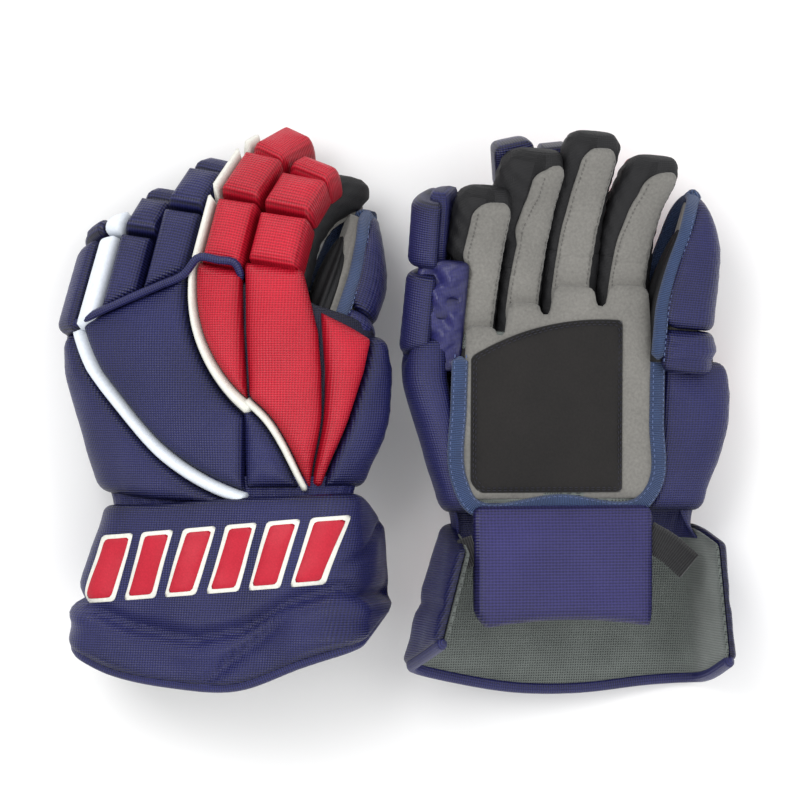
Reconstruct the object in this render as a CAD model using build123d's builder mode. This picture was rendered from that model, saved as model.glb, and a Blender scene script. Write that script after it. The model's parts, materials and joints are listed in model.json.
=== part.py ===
"""A pair of padded ice hockey gloves lying side by side: the left one on its palm, the right one on its back.

Each glove is modelled in its own hand frame: x points to the thumb side, y to the fingertips and z out of
the back of the hand. The origin is on the wrist line, in the middle of the hand's hollow. The right glove is
the left one mirrored through its palm plane, with its own finger posture, and turned palm up. Sizes are in
millimetres and angles in degrees.
"""

import os
from math import cos, radians, tan

from build123d import *

os.makedirs("parts", exist_ok=True)

# ---------------------------------------------------------------- hand and hollow
HAND_LENGTH = 126.0  # wrist line to the middle of the knuckle line
HOLLOW_HEIGHT = 27.0  # room for the hand, palm to back
LINER_WALL = 1.6
PALM_WALL = 2.0
PATCH_WALL = 1.2
PATCH_LENGTH = 114.0  # longest, on the index finger's side
PATCH_SLANT = 24.0  # how much shorter it is on the little finger's side
WRIST_GAP = 4.0  # padding starts this far behind the wrist line

# ---------------------------------------------------------------- back of hand padding
ROLL_HEIGHT = 24.0  # thickness of the padding over the middle of the hand
SIDE_PAD_LITTLE = 28.0  # width of the padding outside the little finger
SIDE_PAD_THUMB = 47.0  # width of the padding on the thumb side
PAD_CORNER = 8.0
TAPER_LITTLE = 24.0  # how much the padding narrows towards the wrist
TAPER_THUMB = 9.0
ROLL_GAP = 0.8  # stitched channel between two rolls
CORD_RADIUS = 2.5  # the knuckle cord
CORD_START = 93.0  # how far up the hand the cord starts, at the little finger's side
CORD_SLOPE = 0.4

# ---------------------------------------------------------------- fingers
STALL_HEIGHT = 23.0
STALL_WALL = 1.6
FINGER_ROLL_HEIGHT = 20.0
SIDE_ROLL = 24.0  # thickness of the roll on the little finger's outer side
ROLL_EDGE = 4.0  # rounding of a finger roll's top edges
HINGE_GAP = 0.45  # clearance on each side of a finger hinge
ROLL_CLEARANCE = 0.4  # a finger roll stands this far off its stall
KNUCKLE_Z = 2.0  # height of the knuckle hinges
KNUCKLE_TILT = 18.0  # the crease over a knuckle leans forward by this angle
MCP_LIMIT = 70.0  # most a knuckle bends
PIP_LIMIT = 80.0  # most a finger's middle joint bends

# name: the column's middle and width, the knuckle's offset from the knuckle line, and the lengths of the
# proximal, middle and tip segments
FINGERS = {
    "little": (-50.0, 26.0, -22.0, 38.0, 22.0, 21.0),
    "ring": (-22.75, 28.5, -5.0, 41.0, 27.0, 24.0),
    "middle": (9.5, 36.0, 8.0, 41.0, 27.0, 25.0),
    "index": (45.0, 35.0, 11.0, 33.0, 24.0, 23.0),
}

# ---------------------------------------------------------------- thumb
THUMB_LENGTH = 92.0
THUMB_WIDTH = 38.0
THUMB_TIP_WIDTH = 26.0
THUMB_HEIGHT = 42.0
THUMB_PAD = 8.0
THUMB_NOSE = 0.31 * THUMB_HEIGHT  # the thumb tip's corners are cut off by this much
THUMB_OFFSET = 2.0  # from the index column to the thumb
THUMB_HINGE_Z = -6.0
THUMB_FLEX_LIMIT = 50.0
THUMB_EXTEND_LIMIT = 8.0
THUMB_KNUCKLE = -14.0  # the thumb's hinge, from the knuckle line
CHANNEL_START = 46.0  # the thumb's way from the hollow into its stall starts here
CHANNEL_WIDTH = 27.0
CHANNEL_HEIGHT = 22.0
CHANNEL_FLOOR = 2.5

# ---------------------------------------------------------------- cuff, wrist flap and elastics
CUFF_LENGTH = 92.0  # wrist line to the cuff's lower corners
CUFF_ARC = 31.0  # how much further the end reaches at its middle
CUFF_WALL = 7.0
CUFF_TOP = (-69.0, 94.0)  # its two sides at the wrist
CUFF_END = (-97.0, 104.0)  # its two sides at the lower corners
CUFF_BACK_Z = 37.0
CUFF_SIDE_Z = -31.0
CUFF_END_RISE = 6.0
CUFF_CORNER = 14.0
CUFF_HINGE_Y = -9.0
CUFF_HINGE_Z = 18.0
CUFF_SWING = 20.0
CUFF_CLEARANCE = 1.0
FLAP_LENGTH = 76.0
FLAP_WALL = 9.0
FLAP_INSET = 6.0  # the flap is this much narrower than the palm, on each side
FLAP_CORNER = 12.0
ELASTIC_WIDTH = 22.0
ELASTIC_WALL = 1.4
ELASTIC_Y = -34.0
ELASTIC_END_GAP = 5.0

# ---------------------------------------------------------------- posture at rest
# lean: finger columns lean to the thumb side; mcp, pip: bend of the two finger joints; tip: fixed bend of the
# fingertip; thumb: bend of the thumb; roll: turn of the whole glove about its length; place: where it lies
GLOVES = {
    "left": {"lean": 9, "mcp": 18, "pip": 32, "tip": 26, "thumb": 30, "roll": -17, "place": (-118.0, 2.0)},
    "right": {"lean": 4, "mcp": 6, "pip": 10, "tip": 12, "thumb": 4, "roll": 15, "place": (96.0, -3.0)},
}

# ---------------------------------------------------------------- values that follow from those above
BLOCK_LEFT = FINGERS["little"][0] - FINGERS["little"][1] / 2
BLOCK_RIGHT = FINGERS["index"][0] + FINGERS["index"][1] / 2
LINER_HALF = BLOCK_RIGHT + LINER_WALL
HOLLOW_HALF_Z = HOLLOW_HEIGHT / 2
LINER_TOP = HOLLOW_HALF_Z + LINER_WALL
PAD_BASE = LINER_TOP + ROLL_CLEARANCE
PAD_TOP = PAD_BASE + ROLL_HEIGHT
PAD_LEFT = -(LINER_HALF + SIDE_PAD_LITTLE)
PAD_RIGHT = LINER_HALF + SIDE_PAD_THUMB
STALL_WIDTH = min(width for _, width, *_ in FINGERS.values()) - 1
STALL_HALF_Z = STALL_HEIGHT / 2
ROLL_BASE = STALL_HALF_Z + ROLL_CLEARANCE
CHANNEL_END = LINER_HALF + CHANNEL_WIDTH
FAR = 400.0  # reaches past everything


def slope(angle):
    """Rise over run of an angle in degrees."""
    return tan(radians(angle))


def block(posture):
    """Frame of the finger columns: x across them, y along them, on the knuckle line."""
    return Location((0, HAND_LENGTH, KNUCKLE_Z), (0, 0, -posture["lean"]))


def side_plane(frame):
    """A frame's lengthways plane: sketch x runs along the finger and sketch y out of its back."""
    return Plane(frame * Plane.YZ.location)


def finger_frames(posture, finger):
    """Frames at a finger's knuckle and at its middle joint, with y along the finger and z out of its back."""
    across, _, knuckle, proximal, _, _ = FINGERS[finger]
    first = block(posture) * Location((across, knuckle, 0)) * Location((0, 0, 0), (-posture["mcp"], 0, 0))
    second = first * Location((0, proximal, 0)) * Location((0, 0, 0), (-posture["pip"], 0, 0))
    return first, second


def thumb_frame(posture):
    """Frame at the thumb's hinge, on the side of the thumb that is next to the index finger."""
    base = block(posture) * Location((BLOCK_RIGHT + THUMB_OFFSET, THUMB_KNUCKLE, THUMB_HINGE_Z - KNUCKLE_Z))
    return base * Location((0, 0, 0), (-posture["thumb"], 0, 0))


def glove_place(posture):
    """Where a glove lies: turned about its length, then set down."""
    return Location((*posture["place"], 0), (0, posture["roll"], 0))


# ---------------------------------------------------------------- hand
def behind_knuckles(posture):
    """Everything on the wrist side of the knuckle hinges, stepped column by column.

    Above a hinge its face leans as the crease does, and below it slants back, so that the joint can bend.
    """
    columns = [
        (middle - width / 2, width, knuckle, 0, slope(KNUCKLE_TILT), slope(MCP_LIMIT / 2))
        for middle, width, knuckle, *_ in FINGERS.values()
    ]
    start, width, *profile = columns[0]
    columns[0] = (-FAR, start + width + FAR, *profile)
    thumb_z = THUMB_HINGE_Z - KNUCKLE_Z
    extend, flex = slope(THUMB_EXTEND_LIMIT / 2), slope(THUMB_FLEX_LIMIT / 2)
    columns.append((BLOCK_RIGHT, FAR, THUMB_KNUCKLE, thumb_z, -extend, flex))
    reach = FAR / 4
    with BuildPart() as region:
        for start, width, hinge, hinge_z, above, below in columns:
            edge = hinge - HINGE_GAP
            with BuildSketch(side_plane(block(posture) * Location((start, 0, 0)))):
                with BuildLine():
                    Polyline(
                        (-FAR, hinge_z - reach),
                        (edge - reach * below, hinge_z - reach),
                        (edge, hinge_z),
                        (edge + reach * above, hinge_z + reach),
                        (-FAR, hinge_z + reach),
                        close=True,
                    )
                make_face()
            extrude(amount=width)
    return region.part


def dome_outline():
    """Outer outline of the hand's padding, in x and z, from the little finger's side to the thumb's."""
    return [
        (PAD_LEFT + PAD_CORNER, -HOLLOW_HALF_Z),
        (PAD_LEFT, 0),
        (PAD_LEFT + SIDE_PAD_LITTLE / 6, PAD_BASE + ROLL_HEIGHT / 4),
        (PAD_LEFT + SIDE_PAD_LITTLE, PAD_TOP - ROLL_HEIGHT / 4),
        (-SIDE_PAD_LITTLE / 2, PAD_TOP),
        (BLOCK_RIGHT / 2, PAD_TOP),
        (BLOCK_RIGHT + SIDE_PAD_THUMB / 5, PAD_TOP - ROLL_HEIGHT / 4),
        (PAD_RIGHT - SIDE_PAD_THUMB / 4, PAD_BASE + ROLL_HEIGHT / 8),
        (PAD_RIGHT, -ROLL_HEIGHT / 8),
        (PAD_RIGHT - PAD_CORNER, -HOLLOW_HALF_Z),
    ]


def thumb_channel():
    """The thumb's way out of the hollow, through the lining and the padding on the thumb side."""
    low, high = CHANNEL_FLOOR - HOLLOW_HALF_Z, CHANNEL_FLOOR + CHANNEL_HEIGHT - HOLLOW_HALF_Z
    with BuildPart() as channel:
        with BuildSketch(Plane.YZ.offset(BLOCK_RIGHT - LINER_WALL)):
            with Locations(((CHANNEL_START + FAR) / 2, (low + high) / 2)):
                Rectangle(FAR - CHANNEL_START, high - low)
        extrude(amount=CHANNEL_END - BLOCK_RIGHT + LINER_WALL)
    return channel.part


def pad_dome():
    """All the padding of the hand in one arch, over the back and down both sides, narrowing to the wrist."""
    wall = LINER_HALF + ROLL_CLEARANCE
    low, wide = -WRIST_GAP - 1, HAND_LENGTH * 0.6
    with BuildPart() as dome:
        with BuildSketch(Plane.XZ.offset(WRIST_GAP)):
            with BuildLine():
                Polyline(*dome_outline(), (wall, -HOLLOW_HALF_Z), (wall, PAD_BASE), (-wall, PAD_BASE),
                         (-wall, -HOLLOW_HALF_Z), close=True)
            make_face()
        extrude(amount=-2 * HAND_LENGTH)
        with BuildSketch(Plane.XY.offset(-FAR / 4)):
            with BuildLine():
                Polyline(
                    (PAD_LEFT + TAPER_LITTLE, low),
                    (PAD_LEFT, wide),
                    (PAD_LEFT, FAR),
                    (PAD_RIGHT, FAR),
                    (PAD_RIGHT, wide),
                    (PAD_RIGHT - TAPER_THUMB, low),
                    close=True,
                )
            make_face()
        extrude(amount=FAR / 2, mode=Mode.INTERSECT)
        add(thumb_channel(), mode=Mode.SUBTRACT)
    return dome.part


def roll_outlines():
    """Plan outlines of the five hand rolls: the curved seams, from the little finger's side to the thumb's."""
    wrist, tip = -WRIST_GAP - 1, 2 * HAND_LENGTH
    outer_top, outer_middle = (BLOCK_LEFT - 16, HAND_LENGTH * 0.87), (BLOCK_LEFT + 18, HAND_LENGTH * 0.36)
    white_top, white_middle = (-9.0, HAND_LENGTH * 1.16), (1.0, HAND_LENGTH * 0.73)
    middle_low, white_low = (BLOCK_RIGHT * 0.56, wrist), (BLOCK_RIGHT * 0.55, HAND_LENGTH * 0.38)
    middle_top = (BLOCK_RIGHT * 0.51, tip)
    side_low, side_top = (BLOCK_RIGHT + 16, wrist), (BLOCK_RIGHT - 2, tip)

    left = (outer_top[0] - 4, tip)
    outer_seam = (outer_top, outer_middle, middle_low)
    white_seam = (white_low, white_middle, white_top)

    def outline(arcs, lines):
        with BuildSketch(Plane.XY.offset(-FAR / 4)) as sketch:
            with BuildLine():
                for start, through, end in arcs:
                    ThreePointArc(start, through, end)
                for corners in lines:
                    Polyline(*corners)
            make_face()
            offset(amount=-ROLL_GAP / 2, kind=Kind.INTERSECTION)
        return sketch.sketch

    ends = {
        "little_side": [(middle_low, (-FAR, wrist), (-FAR, tip), left, outer_top)],
        "centre": [(middle_low, white_low), (white_top, (white_top[0], tip), left, outer_top)],
        "middle": [(white_top, (white_top[0], tip), middle_top, white_low)],
        "index": [(middle_low, side_low, side_top, middle_top, middle_low)],
        "thumb_side": [(side_low, (FAR, wrist), (FAR, tip), side_top, side_low)],
    }
    seams = {"little_side": [outer_seam], "centre": [outer_seam, white_seam], "middle": [white_seam]}
    return {f"roll_{name}": outline(seams.get(name, []), lines) for name, lines in ends.items()}


def hand_rolls(posture):
    """The five padded rolls on the back and sides of the hand."""
    dome, region = pad_dome(), behind_knuckles(posture)
    rolls = {}
    for name, outline in roll_outlines().items():
        with BuildPart() as roll:
            add(dome)
            extrude(outline, amount=FAR / 2, mode=Mode.INTERSECT)
            add(region, mode=Mode.INTERSECT)
        rolls[name] = roll.part
    return rolls


def knuckle_cord():
    """The sewn cord that crosses the back of the hand behind the knuckles, up to the middle roll's edge."""
    lengthen = (1 + CORD_SLOPE**2) ** 0.5
    across, square = (1, CORD_SLOPE, 0), (CORD_SLOPE, -1, 0)
    upright = Plane(origin=(0, CORD_START - CORD_SLOPE * PAD_LEFT, 0), x_dir=across, z_dir=square)
    over = [*dome_outline()[1:5], (BLOCK_RIGHT * 0.4, PAD_TOP)]
    with BuildLine(upright) as route:
        Polyline(*[(x * lengthen, z) for x, z in over])
        offset(amount=CORD_RADIUS + ROLL_CLEARANCE, side=Side.LEFT, closed=False)
    with BuildPart() as cord:
        with BuildSketch(Plane(route.line @ 0, z_dir=route.line % 0)):
            Circle(CORD_RADIUS)
        sweep(path=route.line)
    return cord.part


def hand_liner(posture):
    """The lining on the back and sides of the hollow: a channel that is open to the palm."""
    with BuildPart() as liner:
        with BuildSketch(Plane.XZ):
            with Locations((0, (LINER_TOP - HOLLOW_HALF_Z) / 2)):
                Rectangle(2 * LINER_HALF, LINER_TOP + HOLLOW_HALF_Z)
            Rectangle(2 * BLOCK_RIGHT, HOLLOW_HEIGHT, mode=Mode.SUBTRACT)
        extrude(amount=-2 * HAND_LENGTH)
        add(thumb_channel(), mode=Mode.SUBTRACT)
        add(behind_knuckles(posture), mode=Mode.INTERSECT)
    return liner.part.solids().sort_by(SortBy.VOLUME)[-1]


def palm(posture):
    """The palm leather, under the hollow."""
    with BuildPart() as leather:
        with BuildSketch(Plane.XY.offset(-HOLLOW_HALF_Z - PALM_WALL)):
            with Locations((0, HAND_LENGTH)):
                Rectangle(2 * LINER_HALF, 2 * HAND_LENGTH)
        extrude(amount=PALM_WALL)
        add(behind_knuckles(posture), mode=Mode.INTERSECT)
    return leather.part


def palm_patch():
    """The overlay that takes the wear of the stick, with its slanted front edge."""
    left, right = -LINER_HALF + FLAP_INSET, BLOCK_RIGHT * 0.58
    short = PATCH_LENGTH - PATCH_SLANT
    with BuildPart() as patch:
        with BuildSketch(Plane.XY.offset(-HOLLOW_HALF_Z - PALM_WALL - PATCH_WALL)):
            with BuildLine():
                crown = ((left + right) / 2, PATCH_LENGTH - PATCH_SLANT / 4)
                ThreePointArc((left, short), crown, (right, PATCH_LENGTH))
                near_corner = (left + FLAP_INSET, FLAP_INSET)
                Polyline((right, PATCH_LENGTH), (right, FLAP_INSET), near_corner, (left, short))
            make_face()
        extrude(amount=PATCH_WALL)
    return patch.part


# ---------------------------------------------------------------- fingers
def segment_profile(low, high, length, tilt, start_limit, end_limit):
    """Side profile between two hinges: its ends lean with the crease above them and slant away below them."""
    end = length - HINGE_GAP
    start = max(low, 0)
    profile = [(HINGE_GAP + start * slope(tilt), start), (HINGE_GAP + high * slope(tilt), high), (end, high)]
    if low < 0:
        start_low, end_low = HINGE_GAP - low * slope(start_limit / 2), end + low * slope(end_limit / 2)
        below = [(end, 0), (end_low, low), (start_low, low)]
        return profile + below
    return profile + [(end, low)]


def side_prism(profile, start, width):
    """A side profile drawn out across the finger, from start on."""
    with BuildPart() as prism:
        with BuildSketch(Plane.YZ.offset(start)):
            with BuildLine():
                Polyline(*profile, close=True)
            make_face()
        extrude(amount=width)
    return prism.part


def finger_roll(width, length, base, tilt):
    """A foam roll on a finger, along +y from a hinge, with its underside at base and rounded top edges."""
    profile = segment_profile(base, base + FINGER_ROLL_HEIGHT, length, tilt, 0, 0)
    with BuildPart() as roll:
        add(side_prism(profile, ROLL_GAP / 2 - width / 2, width - ROLL_GAP))
        fillet(roll.faces().sort_by(Axis.Z)[-1].edges(), radius=ROLL_EDGE)
    return roll.part


def side_roll(column, length, tilt, start_limit, end_limit):
    """The roll on the little finger's outer side."""
    low, high = -STALL_HALF_Z * 0.8, ROLL_BASE + FINGER_ROLL_HEIGHT * 0.8
    outer = -(column + ROLL_GAP) / 2 - SIDE_ROLL
    with BuildPart() as roll:
        add(side_prism(segment_profile(low, high, length, tilt, start_limit, end_limit), outer, SIDE_ROLL))
        fillet(roll.faces().sort_by(Axis.X)[0].edges(), radius=ROLL_EDGE)
    return roll.part


def stall(outer, hollow):
    """A finger stall: its outer side profile, less its hollow."""
    with BuildPart() as tube:
        add(side_prism(outer, -STALL_WIDTH / 2, STALL_WIDTH))
        inner_width = STALL_WIDTH - 2 * STALL_WALL
        add(side_prism(hollow, -inner_width / 2, inner_width), mode=Mode.SUBTRACT)
    return tube.part


def proximal_stall(length):
    """The stall between the knuckle and the middle joint, open at both ends."""
    h, inner = STALL_HALF_Z, STALL_HALF_Z - STALL_WALL
    hollow = [(-length, inner), (-length, -inner), (2 * length, -inner), (2 * length, inner)]
    return stall(segment_profile(-h, h, length, KNUCKLE_TILT, MCP_LIMIT, PIP_LIMIT), hollow)


def distal_stall(middle, tip, tip_bend):
    """The stall past the middle joint: closed at the fingertip, its back sloping under the tip's roll."""
    h, wall, nose = STALL_HALF_Z, STALL_WALL, STALL_HEIGHT / 4
    end = middle + tip * cos(radians(tip_bend))
    nose_top = h - (end - middle) * slope(tip_bend)
    outer = [
        (HINGE_GAP, 0),
        (HINGE_GAP, h),
        (middle, h),
        (end, nose_top),
        (end, nose - h),
        (end - nose, -h),
        (HINGE_GAP + h * slope(PIP_LIMIT / 2), -h),
    ]
    hollow = [
        (-end, h - wall),
        (middle - wall, h - wall),
        (end - wall, nose_top - wall),
        (end - wall, nose + wall - h),
        (end - nose - wall, wall - h),
        (-end, wall - h),
    ]
    return stall(outer, hollow)


def fingers(posture):
    """The four fingers, each with padding and a stall on both sides of its middle joint."""
    pieces = {}
    for finger, (_, width, _, proximal, middle, tip) in FINGERS.items():
        first, second = finger_frames(posture, finger)
        bend = posture["tip"]
        near = [finger_roll(width, proximal, ROLL_BASE, KNUCKLE_TILT)]
        over_tip = Location((0, middle, ROLL_BASE), (-bend, 0, 0))
        far = [finger_roll(width, middle, ROLL_BASE, 0), over_tip * finger_roll(width, tip, 0, 0)]
        if finger == "little":
            near.append(side_roll(width, proximal, KNUCKLE_TILT, MCP_LIMIT, PIP_LIMIT))
            far.append(side_roll(width, middle, 0, PIP_LIMIT, 0))
        pieces[f"{finger}_proximal_roll"] = [first * roll for roll in near]
        pieces[f"{finger}_distal_rolls"] = [second * roll for roll in far]
        pieces[f"{finger}_proximal_stall"] = [first * proximal_stall(proximal)]
        pieces[f"{finger}_distal_stall"] = [second * distal_stall(middle, tip, bend)]
    return pieces


# ---------------------------------------------------------------- thumb
def thumb_form(inset, inner):
    """The thumb's tapered outside, drawn in by inset on all sides but the inner one, which is at x = inner."""
    half, end, nose = THUMB_HEIGHT / 2 - inset, THUMB_LENGTH - inset, THUMB_NOSE - inset / 2
    above, below = slope(THUMB_EXTEND_LIMIT / 2), slope(THUMB_FLEX_LIMIT / 2)
    profile = [
        (HINGE_GAP, 0),
        (HINGE_GAP + half * above, half),
        (end - nose, half),
        (end, half - nose),
        (end, nose - half),
        (end - nose, -half),
        (HINGE_GAP + half * below, -half),
    ]
    with BuildPart() as form:
        add(side_prism(profile, inner, THUMB_WIDTH - inset - inner))
        with BuildSketch(Plane.XY.offset(-FAR / 4)):
            with BuildLine():
                Polyline(
                    (inner, -FAR),
                    (inner, THUMB_LENGTH),
                    (THUMB_TIP_WIDTH - inset, THUMB_LENGTH),
                    (THUMB_WIDTH - inset, THUMB_LENGTH / 3),
                    (THUMB_WIDTH - inset, -FAR),
                    close=True,
                )
            make_face()
        extrude(amount=FAR / 2, mode=Mode.INTERSECT)
    return form.part


def thumb_hollow(inset, inner):
    """The room inside the thumb's form, open at the thumb's base."""
    with BuildPart() as hollow:
        add(thumb_form(inset, inner))
        with BuildSketch(Plane.XZ.offset(FAR / 4)):
            with Locations(((THUMB_WIDTH - inset + inner) / 2, 0)):
                Rectangle(THUMB_WIDTH - inset - inner, THUMB_HEIGHT - 2 * inset)
        extrude(amount=-FAR / 4 - THUMB_LENGTH / 3)
    return hollow.part


def thumb_shell():
    """The stiff padded thumb shell: round the outside, back and palm side, and open to the index finger."""
    with BuildPart() as shell:
        add(thumb_form(0, 0))
        add(thumb_hollow(THUMB_PAD, -THUMB_PAD), mode=Mode.SUBTRACT)
    return shell.part


def thumb_stall():
    """The soft thumb stall that lines the shell and closes its inner side."""
    with BuildPart() as lining:
        add(thumb_form(THUMB_PAD + ROLL_CLEARANCE, 0))
        add(thumb_hollow(THUMB_PAD + ROLL_CLEARANCE + STALL_WALL, STALL_WALL), mode=Mode.SUBTRACT)
    return lining.part


# ---------------------------------------------------------------- cuff, flap and elastics
def cuff_sides(y):
    """Where the cuff's two sides are at y."""
    share = -y / CUFF_LENGTH
    return [top + share * (end - top) for top, end in zip(CUFF_TOP, CUFF_END)]


def cuff_section(y, rise, inset):
    """Cross-section of the cuff at y, its back corners rounded, drawn in by inset and open to the palm."""
    left, right = cuff_sides(y)
    back, low = CUFF_BACK_Z + rise - inset, CUFF_SIDE_Z - (FAR / 8 if inset else 0)
    with BuildSketch(Plane.XZ.offset(-y)) as section:
        with Locations(((left + right) / 2, (back + low) / 2)):
            Rectangle(right - left - 2 * inset, back - low)
        fillet(section.vertices().group_by(Axis.Z)[-1], radius=CUFF_CORNER - inset / 2)
    return section.sketch


def cuff_shell():
    """The flared cuff: a channel over the back and sides of the wrist, open on the palm side."""
    top, end = CUFF_HINGE_Y - CUFF_CLEARANCE, -CUFF_LENGTH - CUFF_ARC
    swing = slope(CUFF_SWING)
    front_low = top - (CUFF_HINGE_Z - CUFF_SIDE_Z) * swing - CUFF_CLEARANCE
    front_high = top - (CUFF_BACK_Z + CUFF_END_RISE - CUFF_HINGE_Z) * swing / 2
    left, right = cuff_sides(-CUFF_LENGTH)
    with BuildPart() as shell:
        loft([cuff_section(top, 0, 0), cuff_section(end, CUFF_END_RISE, 0)], ruled=True)
        inside = [cuff_section(top + 1, 0, CUFF_WALL), cuff_section(end - 1, CUFF_END_RISE, CUFF_WALL)]
        loft(inside, ruled=True, mode=Mode.SUBTRACT)
        with BuildSketch(Plane.YZ.offset(-FAR)):
            with BuildLine():
                Polyline(
                    (front_high, FAR / 4),
                    (front_high, CUFF_BACK_Z + CUFF_END_RISE),
                    (top, CUFF_HINGE_Z),
                    (front_low, CUFF_SIDE_Z),
                    (-FAR, CUFF_SIDE_Z),
                    (-FAR, FAR / 4),
                    close=True,
                )
            make_face()
        extrude(amount=2 * FAR, mode=Mode.INTERSECT)
        with BuildSketch(Plane.XY.offset(-FAR / 4)):
            with BuildLine():
                ThreePointArc((left, -CUFF_LENGTH), ((left + right) / 2, end), (right, -CUFF_LENGTH))
                Polyline(
                    (right, -CUFF_LENGTH),
                    (FAR, -CUFF_LENGTH),
                    (FAR, FAR),
                    (-FAR, FAR),
                    (-FAR, -CUFF_LENGTH),
                    (left, -CUFF_LENGTH),
                )
            make_face()
        extrude(amount=FAR / 2, mode=Mode.INTERSECT)
    return shell.part


def wrist_flap():
    """The padded flap that hangs from the heel of the palm over the inside of the wrist."""
    top = -HINGE_GAP - FLAP_WALL / 4
    with BuildPart() as flap:
        with BuildSketch(Plane.XY.offset(-HOLLOW_HALF_Z - PALM_WALL - FLAP_WALL)) as plan:
            with Locations((0, top - FLAP_LENGTH / 2)):
                Rectangle(2 * (LINER_HALF - FLAP_INSET), FLAP_LENGTH)
            fillet(plan.vertices().group_by(Axis.Y)[0], radius=FLAP_CORNER)
        extrude(amount=FLAP_WALL)
        fillet(flap.faces().sort_by(Axis.Z)[0].edges(), radius=FLAP_WALL / 3)
    return flap.part


def elastics():
    """Two woven elastics that run from the flap's edges to the cuff's sides."""
    flap_edge = LINER_HALF - FLAP_INSET + ROLL_CLEARANCE
    left, right = cuff_sides(ELASTIC_Y)
    inside = CUFF_WALL + ELASTIC_END_GAP
    straps = []
    for start, end in ((left + inside, -flap_edge), (flap_edge, right - inside)):
        with BuildPart() as strap:
            with BuildSketch(Plane.XY.offset(-HOLLOW_HALF_Z - PALM_WALL - FLAP_WALL / 2)):
                with Locations(((start + end) / 2, ELASTIC_Y)):
                    Rectangle(end - start, ELASTIC_WIDTH)
            extrude(amount=ELASTIC_WALL)
        straps.append(strap.part)
    return straps


# ---------------------------------------------------------------- assembly
def glove(posture):
    """Every piece of one glove, in its hand frame: node name to a list of solids."""
    pieces = {node: [roll] for node, roll in hand_rolls(posture).items()}
    pieces["knuckle_cord"] = [knuckle_cord()]
    pieces["hand_liner"] = [hand_liner(posture)]
    pieces["palm"] = [palm(posture)]
    pieces["palm_patch"] = [palm_patch()]
    pieces.update(fingers(posture))
    pieces["thumb_shell"] = [thumb_frame(posture) * thumb_shell()]
    pieces["thumb_stall"] = [thumb_frame(posture) * thumb_stall()]
    pieces["cuff_shell"] = [cuff_shell()]
    pieces["wrist_flap"] = [wrist_flap()]
    pieces["elastics"] = elastics()
    return pieces


def placed_glove(name, posture):
    """One glove's pieces where it lies, its lowest point on the floor. The right one is mirrored through its
    palm plane first, which also turns it palm up."""
    pieces = glove(posture)
    if name == "right":
        pieces = {node: [mirror(s, about=Plane.XY) for s in solids] for node, solids in pieces.items()}
    pieces = {f"{name}_{node}": [glove_place(posture) * s for s in solids] for node, solids in pieces.items()}
    lowest = min(solid.bounding_box().min.Z for solids in pieces.values() for solid in solids)
    return {node: [Location((0, 0, -lowest)) * solid for solid in solids] for node, solids in pieces.items()}


nodes = {}
for name, posture in GLOVES.items():
    nodes.update(placed_glove(name, posture))
boxes = [solid.bounding_box() for solids in nodes.values() for solid in solids]
middle_x = (min(box.min.X for box in boxes) + max(box.max.X for box in boxes)) / 2
middle_y = (min(box.min.Y for box in boxes) + max(box.max.Y for box in boxes)) / 2
for node, solids in nodes.items():
    piece = Compound(children=[Location((-middle_x, -middle_y, 0)) * solid for solid in solids])
    piece.label = node
    export_step(piece, f"parts/{node}.step")
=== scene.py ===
"""The looks of a pair of padded hockey gloves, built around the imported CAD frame.

Shapes are worked out in millimetres in each glove's hand frame, the same one as in the CAD: x points to the
thumb side, y to the fingertips and z out of the back of the hand. glove.world() takes them to the row frame.
"""

import json
import math

import bmesh
import bpy
import numpy as np
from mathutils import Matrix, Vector, geometry


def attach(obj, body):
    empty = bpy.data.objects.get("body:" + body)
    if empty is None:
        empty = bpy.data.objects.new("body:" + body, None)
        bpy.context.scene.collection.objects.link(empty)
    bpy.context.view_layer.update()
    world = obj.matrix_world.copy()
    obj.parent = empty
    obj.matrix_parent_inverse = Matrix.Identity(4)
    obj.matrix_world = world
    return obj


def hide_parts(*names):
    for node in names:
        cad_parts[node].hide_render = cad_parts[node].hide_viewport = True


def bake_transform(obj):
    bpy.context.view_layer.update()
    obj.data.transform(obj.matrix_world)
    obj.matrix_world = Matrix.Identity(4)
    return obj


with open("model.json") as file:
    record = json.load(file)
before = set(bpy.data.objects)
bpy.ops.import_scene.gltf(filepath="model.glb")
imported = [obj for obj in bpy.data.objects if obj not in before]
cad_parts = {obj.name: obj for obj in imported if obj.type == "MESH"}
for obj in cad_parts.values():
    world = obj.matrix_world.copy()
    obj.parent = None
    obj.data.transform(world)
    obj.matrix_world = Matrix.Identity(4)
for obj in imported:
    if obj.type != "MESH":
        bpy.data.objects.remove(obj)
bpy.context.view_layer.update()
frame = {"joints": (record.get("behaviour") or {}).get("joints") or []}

MM = 0.001

# ---------------------------------------------------------------- the CAD's own sizes, in mm and degrees
HAND_LENGTH = 126.0
KNUCKLE_Z = 2.0
KNUCKLE_TILT = 18.0
HOLLOW_HALF_Z = 13.5
LINER_HALF = 64.1
BLOCK_RIGHT = 62.5
ROLL_BASE = 11.9
ROLL_HEIGHT = 20.0
STALL_HALF_Z = 11.5
# per finger: where it lies across the palm, its width, how far on its knuckle is, then its three lengths
FINGERS = {
    "little": (-50.0, 26.0, -22.0, 38.0, 22.0, 21.0),
    "ring": (-22.75, 28.5, -5.0, 41.0, 27.0, 24.0),
    "middle": (9.5, 36.0, 8.0, 41.0, 27.0, 25.0),
    "index": (45.0, 35.0, 11.0, 33.0, 24.0, 23.0),
}
THUMB_WIDTH = 38.0
THUMB_HALF_Z = 21.0
DOME = [(-LINER_HALF, -13.5), (-84.1, -13.5), (-92.1, 0.0), (-87.4, 21.5), (-64.1, 33.5), (-14.0, 39.5),
        (31.0, 39.5), (72.0, 33.5), (99.4, 18.5), (111.1, -3.0), (103.1, -13.5), (LINER_HALF, -13.5)]
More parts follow.
